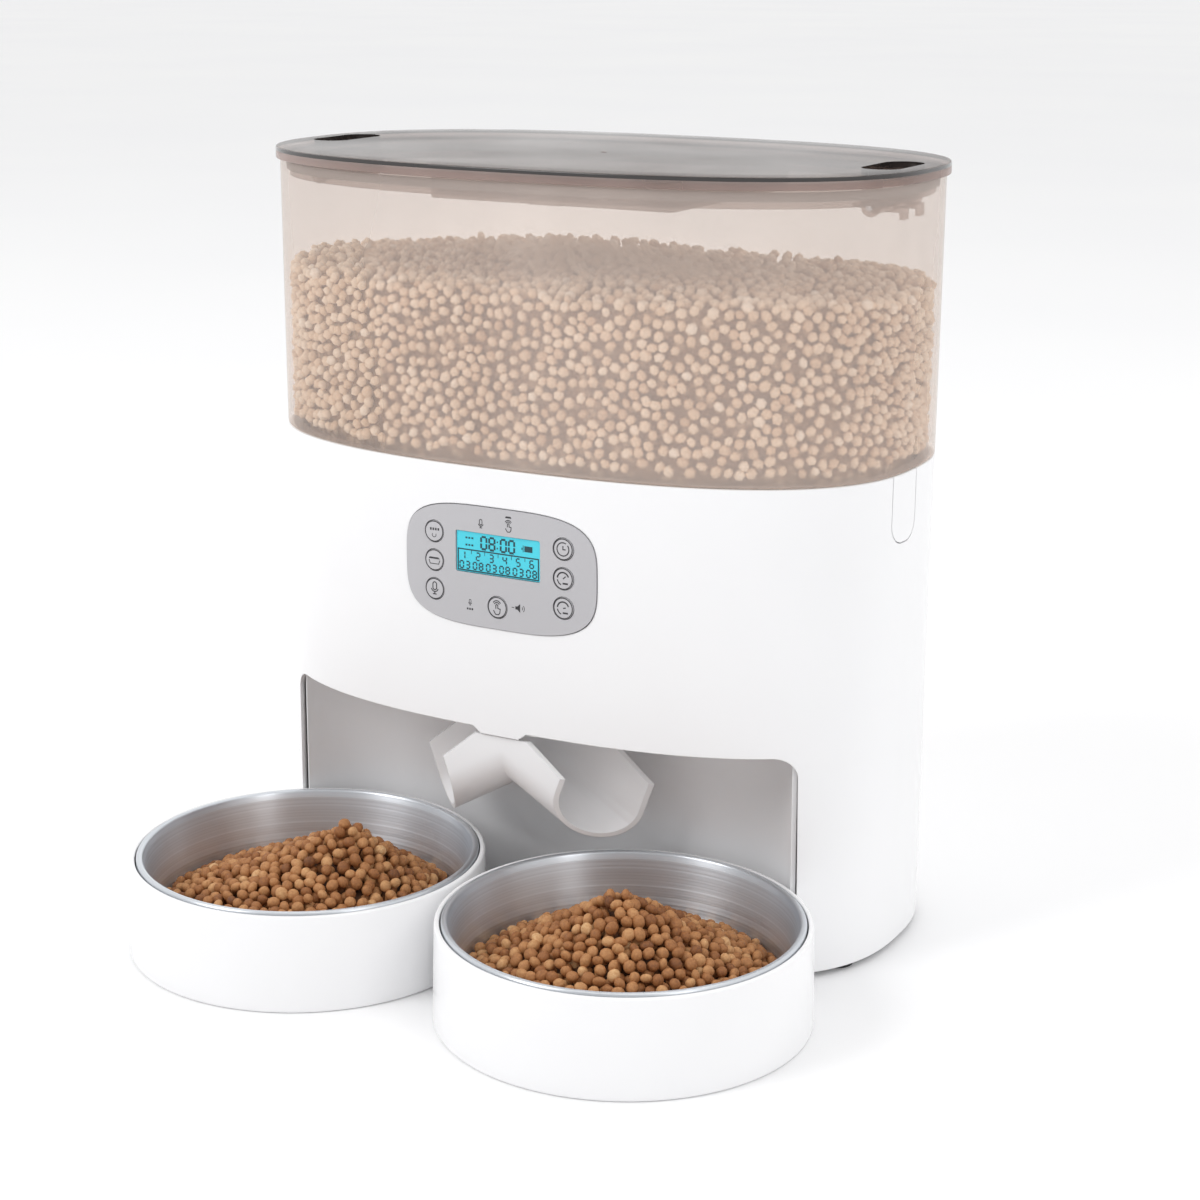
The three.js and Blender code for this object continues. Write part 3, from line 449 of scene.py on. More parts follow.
def clear_plastic(name, pass_rgb, body_rgb, edge_rgb, cloud, streaks=True):
    """Tinted see-through plastic: light passes straight, with a haze of its own colour and gloss by angle.

    pass_rgb tints what's behind, body_rgb is the haze, edge_rgb the haze seen edge-on, cloud its share."""
    look = Look(name)
    streak = look.noise(7.0, 3.0, 0.5, look.stretched(1, 1, 0.12)) if streaks else look.noise(12.0, 2.0)
    through = look.node("BsdfTransparent", Color=look.tones(streak, pass_rgb, 0.025)).outputs[0]
    gloss = look.spread(look.noise(60.0, 3.0), 0.042, 0.084)
    normal = look.bump(look.noise(18.0, 2.0), 0.0002, 0.15)
    rim = look.calc("POWER", look.node("LayerWeight", Blend=0.22).outputs["Facing"], 2.5)
    tone = look.blend(rim, look.tones(look.noise(11.0, 3.0), body_rgb, 0.04), linear(edge_rgb))
    front = look.principled(Base_Color=tone, Roughness=gloss, Normal=normal, IOR=1.5)
    share = look.calc("MULTIPLY_ADD", rim, 0.6, look.spread(streak, cloud * 0.75, cloud * 1.25))
    return look.finish(look.mix(share, through, front))


def brushed(name, rgb, rough, scale, rings=False, **extra):
    """Brushed metal. With rings, the lines run round the piece's own upright axis."""
    look = Look(name)
    if rings:
        radius = look.node("VectorMath", {"operation": "LENGTH"}, Vector=look.stretched(1, 1, 0))
        height = look.node("SeparateXYZ", Vector=look.place).outputs["Z"]
        line = look.node("CombineXYZ", X=radius.outputs["Value"], Y=height)
        around = look.node("Tangent", {"direction_type": "RADIAL", "axis": "Z"})
        extra["Tangent"] = around.outputs["Tangent"]
        lines = look.noise(scale, 4.0, 0.6, line.outputs[0])
    else:
        lines = look.noise(scale, 4.0, 0.6, look.stretched(1, 0.03, 1))
    tone = look.tones(lines, rgb, 0.05)
    gloss = look.spread(lines, rough * 0.8, rough * 1.25)
    normal = look.bump(lines, 0.000012, 0.4, look.bump(look.noise(14.0, 2.0), 0.0002, 0.06))
    shader = look.principled(Base_Color=tone, Metallic=0.94, Roughness=gloss, Normal=normal, **extra)
    return look.finish(shader)


def kibble_look(name, stops):
    """Baked food pieces: a tone for each piece with a real mottle, painted shade darkening the pits, and a
    rough pitted surface.
    """
    look = Look(name)
    own = look.node("Attribute", {"attribute_name": "tone"}).outputs["Fac"]
    crumb_and_pit_shade = look.noise(900.0, 4.0, 0.65)
    # the fine noise mottles the tone and, being the bump's height too, darkens the pits: painted shade
    mixed = look.calc("MULTIPLY_ADD", look.spread(crumb_and_pit_shade, -1.0, 1.0), 0.16, own)
    tone = look.ramp(mixed, *[(at, linear(rgb)) for at, rgb in stops])
    normal = look.bump(look.noise(420.0, 2.0), 0.00035, 0.5, look.bump(crumb_and_pit_shade, 0.00014, 0.6))
    gloss = look.spread(crumb_and_pit_shade, 0.55, 0.8)
    return look.finish(look.principled(Base_Color=tone, Roughness=gloss, Normal=normal))


WHITE = moulded("white_moulded", (243, 243, 244), 0.21, 0.006, edge=0.0006)
INNER_WHITE = moulded("white_inner", (243, 243, 244), 0.38, 0.01, edge=0.0005)
SPLITTER = moulded("white_splitter", (242, 242, 243), 0.34, 0.008, edge=0.0004)
CLEAR = clear_plastic("clear_tinted", (250, 246, 243), (240, 224, 214), (150, 132, 122), 0.32)
CLEAR_PART = clear_plastic("clear_small_parts", (226, 216, 211), (186, 172, 164), (120, 106, 98), 0.22, False)
SMOKE = clear_plastic("smoky_lid", (214, 209, 206), (146, 140, 138), (104, 99, 97), 0.34, False)
SMOKE_BOX = clear_plastic("smoky_box", (224, 215, 211), (176, 165, 160), (104, 94, 90), 0.26, False)
SKIRT = clear_plastic("lid_skirt", (222, 208, 203), (186, 170, 164), (120, 108, 103), 0.42, False)
LID_EDGE = moulded("lid_edge", (44, 40, 39), 0.16, 0.05, Coat_Weight=0.4, Coat_Roughness=0.05)
GASKET = moulded("silicone_gasket", (120, 112, 108), 0.55, 0.04)
PANEL = moulded("panel_grey", (187, 186, 189), 0.34, 0.008, grain=0.00002, edge=0.0003)
KEY_LOOK = moulded("key_grey", (190, 189, 192), 0.36, 0.01, grain=0.00002, edge=0.0003)
PRINT = moulded("printed_marks", (44, 42, 46), 0.5, 0.04)
PIXELS = moulded("display_marks", (8, 66, 76), 0.4, 0.05)
STEEL = brushed("brushed_steel", (217, 221, 226), 0.36, 900.0, rings=True, Anisotropic=0.75,
                Anisotropic_Rotation=0.25)
PLATED = brushed("plated_steel", (196, 197, 200), 0.3, 700.0)
RUBBER = moulded("foot_rubber", (40, 40, 42), 0.8, 0.06, grain=0.00003)
SILICONE = moulded("soft_silicone", (214, 208, 200), 0.6, 0.02)
BLACK = moulded("black_moulded", (30, 30, 32), 0.42, 0.06, grain=0.00003)
NYLON = moulded("nylon", (228, 222, 206), 0.45, 0.02, grain=0.00002)
FOOD = kibble_look("kibble_brown", [(0.0, (108, 64, 32)), (0.3, (152, 98, 54)), (0.6, (184, 130, 82)),
                                    (0.85, (208, 160, 110)), (1.0, (224, 186, 138))])
# painted light: the hopper's food is a paler copy of the bowl food, lightened for the little light that reaches
# it inside the tank
PALE_FOOD_PAINTED_LIGHT = kibble_look("kibble_pale", [(0.0, (206, 172, 140)), (0.35, (230, 202, 172)),
                                        (0.7, (244, 224, 200)), (1.0, (252, 240, 224))])


def display_look():
    """A lit liquid-crystal display: even cyan backlight with a faint pixel grid behind a glossy front."""
    look = Look("lit_display")
    grid = look.node("TexWave", {"bands_direction": "Z"}, Vector=look.place, Scale=900.0)
    ends = (NOISE_LOW, linear((16, 182, 202))), (NOISE_HIGH, linear((34, 196, 214)))
    shown = look.blend(0.05, look.ramp(look.noise(30.0, 1.0), *ends), grid.outputs["Color"])
    normal = look.bump(look.noise(40.0, 1.0), 0.00003, 0.2)
    return look.finish(look.principled(Base_Color=shown, Emission_Color=shown, Emission_Strength=0.2,
                                       Roughness=0.16, Normal=normal, Coat_Weight=0.3, Coat_Roughness=0.04))


def board_look():
    """Green circuit board with soldered dots and tracks."""
    look = Look("circuit_board")
    tracks = look.node("TexBrick", Vector=look.stretched(120, 120, 120), Scale=1.6,
                       Color1=linear((24, 92, 52)), Color2=linear((34, 112, 66)), Mortar=linear((104, 150, 92)))
    dots = look.cells(160.0)
    solder = look.ramp(dots, (0.10, linear((200, 200, 196))), (0.16, linear((30, 100, 58))))
    both = look.blend(0.7, tracks.outputs["Color"], solder, "LIGHTEN")
    return look.finish(look.principled(Base_Color=both, Roughness=0.42, Normal=look.bump(dots, 0.0002, 0.4)))


def gap_shaded_core_look(name, dark, light):
    """The food behind the outermost pieces, as packed rounded grains, darker than the pieces and darkest at the
    grain edges: painted shade in the gaps between pieces and grains.
    """
    look = Look(name)
    grains = look.cells(190.0)
    # painted shade: dark at the grain edges, light at their middles
    tone = look.ramp(grains, (0.1, linear(light)), (0.55, linear(dark)))
    return look.finish(look.principled(Base_Color=tone, Roughness=look.spread(look.noise(300.0), 0.7, 0.9),
                                       Normal=look.bump(grains, -0.002, 0.8)))


LCD_LOOK = display_look()
BOARD = board_look()
# both cores are darker than the food over them: painted shade in the gaps between the pieces
FOOD_CORE_GAP_SHADE = gap_shaded_core_look("kibble_core_gap_shade", (70, 40, 20), (140, 92, 52))
# the pale core is lightened too: painted light, as for the pale food
PALE_CORE_PAINTED_LIGHT_AND_SHADE = gap_shaded_core_look("kibble_pale_core_painted_light_and_shade", (160, 126, 96), (234, 208, 178))


# ---- camera ----------------------------------------------------------------------------------
CAMERA_PLACE = (0.53324, -0.92141, 0.44432)
CAMERA_TURN, CAMERA_RISE, CAMERA_ROLL = 0.5098, 0.1599, 0.0032
SENSOR, LENS, SHIFT_X, SHIFT_Y = 36, 73.39302, 0.0166, -0.2250


def place_camera():
    az, el, roll = CAMERA_TURN, CAMERA_RISE, CAMERA_ROLL
    back = Vector((math.sin(az) * math.cos(el), -math.cos(az) * math.cos(el), math.sin(el)))
    right = Vector((math.cos(az), math.sin(az), 0))
    up = back.cross(right)
    across = right * math.cos(roll) + up * math.sin(roll)
    upward = up * math.cos(roll) - right * math.sin(roll)
    data = bpy.data.cameras.new("camera")
    data.sensor_width = SENSOR
    data.lens = LENS
    data.shift_x, data.shift_y = SHIFT_X, SHIFT_Y
    data.clip_start, data.clip_end = 0.05, 60
    camera = placed("camera", data)
    turn = Matrix((across, upward, back)).transposed()
    camera.matrix_world = Matrix.Translation(CAMERA_PLACE) @ turn.to_4x4()
    bpy.context.scene.camera = camera


place_camera()


# ---- housing ---------------------------------------------------------------------------------
def arch_tool():
    points = [(-ARCH_HALF, -5), (ARCH_HALF, -5)]
    points += arc(ARCH_HALF - ARCH_CORNER, ARCH_TOP - ARCH_CORNER, ARCH_CORNER, 0, 90)
    tongue = [(TONGUE_TOP, ARCH_TOP), (TONGUE_BOTTOM, TONGUE_Z)]
    points += tongue + [(-x, z) for x, z in reversed(tongue)]
    points += arc(-ARCH_HALF + ARCH_CORNER, ARCH_TOP - ARCH_CORNER, ARCH_CORNER, 90, 180)
    return prism(points, -FAR, -45, "y")


def panel_outline(grow):
    half_w, half_h = PANEL_HALF_W + grow, PANEL_HALF_H + grow
    return superellipse(half_w, half_h, PANEL_POWER, PANEL_POWER, PANEL_POINTS) + (0, PANEL_Z)


def tab_tool(side, grow):
    half, low, radius = TAB_HALF + grow, TAB_LOW - grow, TAB_CORNER + grow
    points = [(TAB_Y + half, JOINT_Z + 5), (TAB_Y - half, JOINT_Z + 5)]
    points += arc(TAB_Y - half + radius, low + radius, radius, 180, 270)
    points += arc(TAB_Y + half - radius, low + radius, radius, 270, 360)
    start = 135 if side > 0 else -175
    return prism(points, start, start + 40, "x")


def rod(radius, low, high, at, axis="y", segments=32):
    return prism(arc(at[0], at[1], radius, 0, 360, segments)[:-1], low, high, axis)


def shell_wall(low, outer_round, inner_round):
    """The housing wall from a lower edge up to the joint."""
    top = JOINT_Z - GAP
    profile = rounded([(0, low, outer_round), (0, top, 0.7), (WALL, top, 0.4), (WALL, low, inner_round)])
    return solid("tool", *skin(plan_rings(profile)))


INLET_LOW, INLET_HIGH = (-83.3, 60, 16.7), (-68.7, FAR, 31.3)
SOUND_X, SOUND_Z, SOUND_RING, SOUND_R = 62, 62, 7, 1.6
POSTS = ((145, -14), (120, 60.5))
POST_R, POST_TOP, PILOT_R, PILOT_TOP = 5.6, 38, 1.8, 20


def housing():
    shell = shell_wall(BASE_Z, 1.0, 0.3)
    turns = [k * math.pi / 3 for k in range(6)]
    ring = [(SOUND_X + SOUND_RING * math.cos(t), SOUND_Z + SOUND_RING * math.sin(t)) for t in turns]
    holes = [rod(SOUND_R, 60, FAR, at, segments=20) for at in [(SOUND_X, SOUND_Z), *ring]]
    combine(shell, "DIFFERENCE", arch_tool(), prism(panel_outline(GAP), -FAR, -60, "y"), tab_tool(1, TAB_GAP),
            tab_tool(-1, TAB_GAP), box(INLET_LOW, INLET_HIGH), *holes)
    posts = []
    for side in (-1, 1):
        for x, y in POSTS:
            post = rod(POST_R, ABOVE_BASE, POST_TOP, (side * x, y), "z", 28)
            combine(post, "DIFFERENCE", rod(PILOT_R, 0, PILOT_TOP, (side * x, y), "z", 20))
            posts.append(combine(post, "INTERSECT", block(1.2, 0, JOINT_Z, 120)))
    combine(shell, "UNION", *posts)
    return settle(shell, "housing_shell", "base", WHITE, ["main_housing"], 30,
                  [(0, 1), (WALL, -1)])


housing()


def bay_outline(grow):
    side, radius = ARCH_HALF + grow, ARCH_BACK_CORNER + grow
    middle = ARCH_BACK - ARCH_BACK_CORNER
    return ([(-side, -FAR), (side, -FAR)] + arc(side - radius, middle, radius, 0, 90, 28)
            + arc(-side + radius, middle, radius, 90, 180, 28))


def bay_liner():
    outer = prism(bay_outline(LINER), -5, ARCH_TOP + GAP + LINER)
    inner = prism(bay_outline(0), -10, ARCH_TOP + GAP)
    spout = prism(rounded_rectangle(-18, -FAR, 18, -59, 3), 90, 120)
    combine(outer, "DIFFERENCE", inner, spout)
    combine(outer, "INTERSECT", block(WALL + 0.05, ABOVE_BASE, JOINT_Z))
    return settle(outer, "bowl_bay", "base", INNER_WHITE, ["bay_liner"], 30)


bay_liner()

for side, word in SIDES:
    wall = combine(shell_wall(150, 0, 0), "INTERSECT", tab_tool(side, 0))
    settle(wall, f"release_button_{word}", f"release_{word}", WHITE, [f"release_tab_{word}"], 30,
           [(0, 1), (WALL, -1)])


# ---- chute splitter --------------------------------------------------------------------------
TROUGH_R, TROUGH_TALL, TROUGH_LOW, TROUGH_HIGH, TROUGH_SLOPE = 14.6, 60, -30.0, 80.0, 30
TROUGH_PLACE = (0, -75, 75)
# planes that end each trough at its mouth and along its upper edge: a point and the way out
TROUGH_CUTS = (((29.5, -92, 83), (0.7, -0.67, -0.255)), ((9.3, -92, 99.5), (0.591, -0.355, 0.724)))
TROUGH_TOP = 96.8


def trough_bore(side, grow, over):
    """A U-section bar down one side's slope. over makes a cutting bar stick out of the bar it hollows."""
    radius, top = TROUGH_R + grow, TROUGH_TALL + over
    outline = [(radius, top), (-radius, top)]
    outline += [(x, y + radius - grow) for x, y in arc(0, 0, radius, 180, 360, 36)]
    c, s = math.cos(math.radians(TROUGH_SLOPE)), math.sin(math.radians(TROUGH_SLOPE))
    rings = [np.array([(along * c + up * s, across, up * c - along * s) for across, up in outline])
             for along in (TROUGH_LOW - over, TROUGH_HIGH + over)]
    points, faces = skin(rings, False, True)
    if side < 0:
        points = points * (-1, -1, 1)
    return solid("tool", points + TROUGH_PLACE, faces)


def beyond(point, normal):
    n = Vector(normal).normalized()
    turn = Vector((0, 0, 1)).rotation_difference(n).to_matrix().to_4x4()
    tool = box((-200, -200, 0), (200, 200, 400))
    tool.data.transform(Matrix.Translation(point) @ turn)
    return tool


def splitter_half(side):
    half = trough_bore(side, 2, 0)
    combine(half, "DIFFERENCE", trough_bore(side, 0, 8))
    middle = box((0, -300, 0), (300, 300, 300)) if side > 0 else box((-300, -300, 0), (0, 300, 300))
    combine(half, "INTERSECT", middle)
    combine(half, "DIFFERENCE", *[beyond((side * x, y, z), (side * nx, ny, nz))
                                  for (x, y, z), (nx, ny, nz) in TROUGH_CUTS])
    return half


def splitter():
    whole = splitter_half(1)
    combine(whole, "UNION", splitter_half(-1))
    combine(whole, "DIFFERENCE", box((-300, -300, TROUGH_TOP), (300, 300, 300)))
    bevel(whole, 0.55, 3, 42)
    return settle(whole, "two_way_trough", "splitter", SPLITTER, ["chute_splitter"], 32)


splitter()


# ---- control panel ---------------------------------------------------------------------------
PANEL_LOW, PANEL_HIGH, PANEL_THICK = 120, 230, 1
FLANGE_REACH, FLANGE_THICK = 2.6, 1.6


def panel_slab(grow, front, back):
    """A plate of the panel's outline between two depths behind the housing's surface."""
    slab = prism(panel_outline(grow), -FAR, -40, "y")
    combine(slab, "INTERSECT", block(front, PANEL_LOW, PANEL_HIGH))
    return combine(slab, "DIFFERENCE", block(back, PANEL_LOW - 10, PANEL_HIGH + 10))


def panel():
    rear = WALL + GAP
    face = panel_slab(0, -PANEL_PROUD, rear + PANEL_THICK)
    combine(face, "UNION", panel_slab(FLANGE_REACH, rear, rear + FLANGE_THICK))
    window = rounded_rectangle(-LCD_W / 2, LCD_Z - LCD_H / 2, LCD_W / 2, LCD_Z + LCD_H / 2, 1)
    bores = [rod(KEY_HOLE, -FAR, -60, (x, PANEL_Z + dz), segments=48) for x, dz in KEYS.values()]
    combine(face, "DIFFERENCE", prism(window, -FAR, -60, "y"), *bores)
    return settle(face, "control_panel", "base", PANEL, ["panel_plate"], 30,
                  [(-PANEL_PROUD, 1)])


panel()


KEY_PROUD, KEY_FLANGE_THICK, KEY_STEM_R, KEY_STEM_END = 0.25, 1, 1.5, -85.1


def key_face(x, dz):
    return float(front_y(x, PANEL_Z + dz, -PANEL_PROUD)) - KEY_PROUD


def make_key(name, x, dz):
    z = PANEL_Z + dz
    face = key_face(x, dz)
    back = float(front_y(x, z, WALL + 1.9)) + 0.8
    rear = back + KEY_FLANGE_THICK
    profile = rounded([(1.2, face, 0), (KEY_R, face, 0.35), (KEY_R, back, 0.1), (KEY_FLANGE, back, 0.15),
                       (KEY_FLANGE, rear, 0.15), (KEY_STEM_R, rear, 0.2), (KEY_STEM_R, KEY_STEM_END, 0)],
                      closed=False)
    rings = []
    for radius, y in profile:
        flat = np.array(arc(x, z, radius, 0, 360, 56)[:-1])
        rings.append(np.column_stack([flat[:, 0], np.full(len(flat), y), flat[:, 1]]))
    key = outward(solid("tool", *skin(rings, False, True)))
    return settle(key, name + "_cap", name, KEY_LOOK, [name], 35)


for name, (x, dz) in KEYS.items():
    make_key(name, x, dz)


LAYER = 0.004


class Marks:
    """Thin raised marks on a face that looks towards -Y, gathered into one mesh."""

    def __init__(self, surface, lift=0.04, thick=0.12):
        self.surface, self.lift, self.thick = surface, lift, thick
        self.points, self.faces, self.layer = [], [], 0

    def place(self, flat):
        flat = np.asarray(flat, float)
        y = self.surface(flat[:, 0], flat[:, 1]) - self.lift - LAYER * (self.layer % 5)
        front = np.column_stack([flat[:, 0], y, flat[:, 1]])
        self.layer += 1
        return front, front + (0, self.thick, 0)

    def line(self, path, width, closed=False):
        """A line of that width through 2D points, with mitred corners."""
        p = np.asarray(path, float)
        n = len(p)
        before = np.roll(p, 1, 0) if closed else np.vstack([p[:1] * 2 - p[1:2], p[:-1]])
        after = np.roll(p, -1, 0) if closed else np.vstack([p[1:], p[-1:] * 2 - p[-2:-1]])
        a, b = p - before, after - p
        a /= np.linalg.norm(a, axis=1)[:, None]
        b /= np.linalg.norm(b, axis=1)[:, None]
        tangent = a + b
        tangent /= np.maximum(np.linalg.norm(tangent, axis=1), 1e-6)[:, None]
        normal = np.column_stack([-tangent[:, 1], tangent[:, 0]])
        stretch = 1 / np.clip(np.abs(np.einsum("ij,ij->i", tangent, a)), 0.5, 1)
        left, right = p + normal * stretch[:, None] * width / 2, p - normal * stretch[:, None] * width / 2
        front_l, back_l = self.place(left)
        self.layer -= 1
        front_r, back_r = self.place(right)
        base = len(self.points)
        self.points += [*front_l, *front_r, *back_r, *back_l]
        for i in range(n if closed else n - 1):
            j = (i + 1) % n
            for k in range(4):
                m = (k + 1) % 4
                self.faces.append((base + k * n + i, base + k * n + j, base + m * n + j, base + m * n + i))
        if not closed:
            self.faces.append(tuple(base + k * n for k in (0, 1, 2, 3)))
            self.faces.append(tuple(base + k * n + n - 1 for k in (3, 2, 1, 0)))

    def area(self, outline):
        front, back = self.place(outline)
        base, n = len(self.points), len(front)
        self.points += [*front, *back]
        self.faces.append(tuple(range(base, base + n)))
        self.faces.append(tuple(range(base + 2 * n - 1, base + n - 1, -1)))
        for i in range(n):
            j = (i + 1) % n
            self.faces.append((base + j, base + i, base + n + i, base + n + j))

    def ring(self, x, z, radius, width, start=0, end=360):
        whole = end - start >= 360
        steps = max(8, int((end - start) / 9))
        path = arc(x, z, radius, start, end, steps)
        self.line(path[:-1] if whole else path, width, whole)

    def settle(self, name, body, look):
        return settle(outward(solid("tool", self.points, self.faces)), name, body, look)


def microphone_icon(marks, x, z, s, width):
    body = arc(x, z + s * 0.55, s * 0.3, 0, 180, 10) + arc(x, z + s * 0.05, s * 0.3, 180, 360, 10)
    marks.line(body, width, True)
    marks.ring(x, z + s * 0.05, s * 0.56, width, 195, 345)
    marks.line([(x, z - s * 0.5), (x, z - s * 0.85)], width)
    marks.line([(x - s * 0.3, z - s * 0.85), (x + s * 0.3, z - s * 0.85)], width)


HAND = ((-0.16, -0.1), (-0.16, 0.42), (0, 0.55), (0.16, 0.42), (0.16, 0), (0.55, -0.1), (0.5, -0.6),
        (0.3, -0.9), (-0.2, -0.9), (-0.55, -0.35))


def hand_icon(marks, x, z, s, width):
    """A pointing finger over a knuckle arc, with tap rings above."""
    marks.line([(x + u * s, z + v * s) for u, v in HAND], width)
    marks.ring(x, z + 0.4 * s, 0.42 * s, width, 20, 160)
    marks.ring(x, z + 0.4 * s, 0.68 * s, width, 30, 150)


def gauge_icon(marks, x, z, size, width, down):
    marks.ring(x, z, size * 0.85, width * 1.3, 20, 175)
    marks.ring(x, z, size * 0.85, width, 190, 250)
    marks.line([(x, z), (x + size * 0.4, z + size * (0.1 if down else 0.35))], width)
    marks.line([(x - size * 0.05, z - size * 0.62), (x + size * 0.72, z - size * 0.62)], width * 1.5)


def key_icons():
    for name, (x, dz) in KEYS.items():
        face = key_face(x, dz)
        z = PANEL_Z + dz
        marks = Marks(lambda px, pz, y=face: np.full(len(px), y))
        marks.ring(x, z, 4.5, 0.42)
        if name == "key_meal":
            for k in range(4):
                marks.line([(x - 2.1 + k * 1.3, z + 1.0), (x - 1.3 + k * 1.3, z + 1.0)], 1.1)
            marks.ring(x, z - 1.6, 1.0, 0.3, 150, 390)
        elif name == "key_portion":
            marks.area([(x - 2.9, z + 0.5), (x - 2.5, z + 1.3), (x + 1.9, z + 1.3), (x + 2.9, z + 0.5)])
            marks.line([(x - 2.8, z), (x - 2.2, z - 1.7), (x + 2.2, z - 1.7), (x + 2.8, z)], 0.34)
        elif name == "key_record":
            microphone_icon(marks, x, z + 0.3, 3.2, 0.46)
        elif name == "key_clock":
            marks.ring(x, z, 2.9, 0.5, 60, 400)
            marks.line([(x, z + 1.5), (x, z - 0.1), (x + 1.3, z - 0.1)], 0.48)
        elif name == "key_feed":
            hand_icon(marks, x - 0.2, z - 0.3, 3.1, 0.42)
        else:
            gauge_icon(marks, x, z, 3.3, 0.5, name == "key_timer_down")
        marks.settle(name + "_print", name, PRINT)


key_icons()


def panel_print():
    marks = Marks(lambda px, pz: front_y(px, pz, -PANEL_PROUD), 0.03, 0.2)
    microphone_icon(marks, -8.2, 192.6, 2.2, 0.38)
    hand_icon(marks, 5.7, 192.9, 2.6, 0.38)
    marks.area([(4.1, 196.6), (4.5, 197.4), (6.9, 197.4), (7.3, 196.6)])
    microphone_icon(marks, -14, 156.6, 1.5, 0.26)
    for k in range(3):
        marks.line([(-15.7 + k * 1.2, 153.6), (-14.9 + k * 1.2, 153.6)], 0.9)
    marks.area([(9.0, 156.6), (9.0, 158.0), (10.0, 158.0), (11.4, 159.3), (11.4, 155.3), (10.0, 156.6)])
    for reach in (1.0, 1.9):
        marks.ring(11.6, 157.3, reach, 0.28, -45, 45)
    marks.line([(7.2, 157.3), (8.4, 157.3)], 0.3)
    return marks.settle("panel_print", "base", PRINT)


panel_print()

SEGMENTS = {"0": "abcdef", "1": "bc", "2": "abged", "3": "abgcd", "4": "fgbc", "5": "afgcd", "6": "afgedc",
            "8": "abcdefg"}


def digit(marks, text, x, z, width, height, stroke):
    """One seven-segment digit whose lower left corner is at x, z."""
    middle = z + height / 2
    inset = stroke * 0.3
    ends = {}
    for flat, up in (("a", z + height), ("d", z), ("g", middle)):
        ends[flat] = ((x + inset, up), (x + width - inset, up))
    for upper, lower, across in (("f", "e", x), ("b", "c", x + width)):
        ends[upper] = ((across, middle + inset), (across, z + height - inset))
        ends[lower] = ((across, z + inset), (across, middle - inset))
    for segment in SEGMENTS[text]:
        marks.line(ends[segment], stroke)


def display_marks():
    marks = Marks(lambda px, pz: np.full(len(px), LCD_FACE), 0.03, 0.08)
    x = -8.6
    for text in "08:00":
        if text == ":":
            for z in (3.2, 6.0):
                marks.area(corners(x - 0.3, LCD_Z + z - 0.35, x + 0.35, LCD_Z + z + 0.35))
            x += 1.7
        else:
            digit(marks, text, x, LCD_Z + 2.0, 2.7, 5.4, 0.95)
            x += 4.1
    left, right, top, low = -20.3, 20.2, LCD_Z + 0.9, LCD_Z - 8.4
    marks.line(corners(left, low, right, top), 0.6, True)
    step = (right - left) / 6
    for k in range(6):
        centre = left + step * (k + 0.5)
        digit(marks, str(k + 1), centre - (1.8 if k == 0 else 0.9), LCD_Z - 3.4, 1.8, 3.3, 0.6)
        digit(marks, "0", centre - 2.5, LCD_Z - 7.6, 1.8, 3.1, 0.65)
        digit(marks, "8" if k % 2 else "3", centre + 0.6, LCD_Z - 7.6, 1.8, 3.1, 0.65)
        if k:
            marks.line([(left + step * k, LCD_Z + 0.6), (left + step * k, LCD_Z - 1.0)], 0.28)
    for row in (3.0, 6.2):
        for k in range(3):
            marks.line([(-16.6 + k * 1.5, LCD_Z + row), (-15.6 + k * 1.5, LCD_Z + row)], 0.8)
    marks.area([(13.2, LCD_Z + 3.4), (13.2, LCD_Z + 6.0), (17.2, LCD_Z + 6.0), (17.2, LCD_Z + 3.4)])
    marks.line([(12.6, LCD_Z + 3.2), (12.6, LCD_Z + 6.2)], 0.3)
    marks.line([(12.0, LCD_Z + 4.2), (12.0, LCD_Z + 5.2)], 0.5)
    return marks.settle("display_marks", "base", PIXELS)


display_marks()


# ---- hopper ----------------------------------------------------------------------------------
def hopper_skin():
    """The tank's outer skin with its rim turned in, from the drum up."""
    rings = [circle_ring(DRUM_OUTER, DRUM_LOW), circle_ring(DRUM_OUTER, DRUM_TOP)]
    for t in (0.02, 0.25, 0.5, 0.75, 0.98):
        rings.append((1 - t) * circle_ring(DRUM_OUTER, DRUM_TOP) + t * plan_ring(SPIGOT_INSET, 211))
    rings += [plan_ring(SPIGOT_INSET, 211), plan_ring(SPIGOT_INSET, JOINT_Z - 0.3)]
    wall = rounded([(SPIGOT_INSET, JOINT_Z, 0), (0, JOINT_Z, 0.9), (0, RIM_Z, 0.8), (CLEAR_WALL, RIM_Z, 0.5),
                    (CLEAR_WALL, RIM_Z - 3, 0)], closed=False)
    rings += plan_rings(wall)
    tank = solid("tool", *skin(rings, closed=False))
    return settle(tank, "hopper_wall", "hopper", CLEAR, ["hopper_tank"], 30, [(0, 1)])


hopper_skin()

# ---- lid -------------------------------------------------------------------------------------
def slot_tool(side):
    """A bar through the lid where a finger slot goes."""
    x = side * SLOT_X
    outline = rounded_rectangle(x - SLOT_HALF_X, -SLOT_HALF_Y, x + SLOT_HALF_X, SLOT_HALF_Y, SLOT_CORNER, 12)
    return prism(outline, 300, 400)


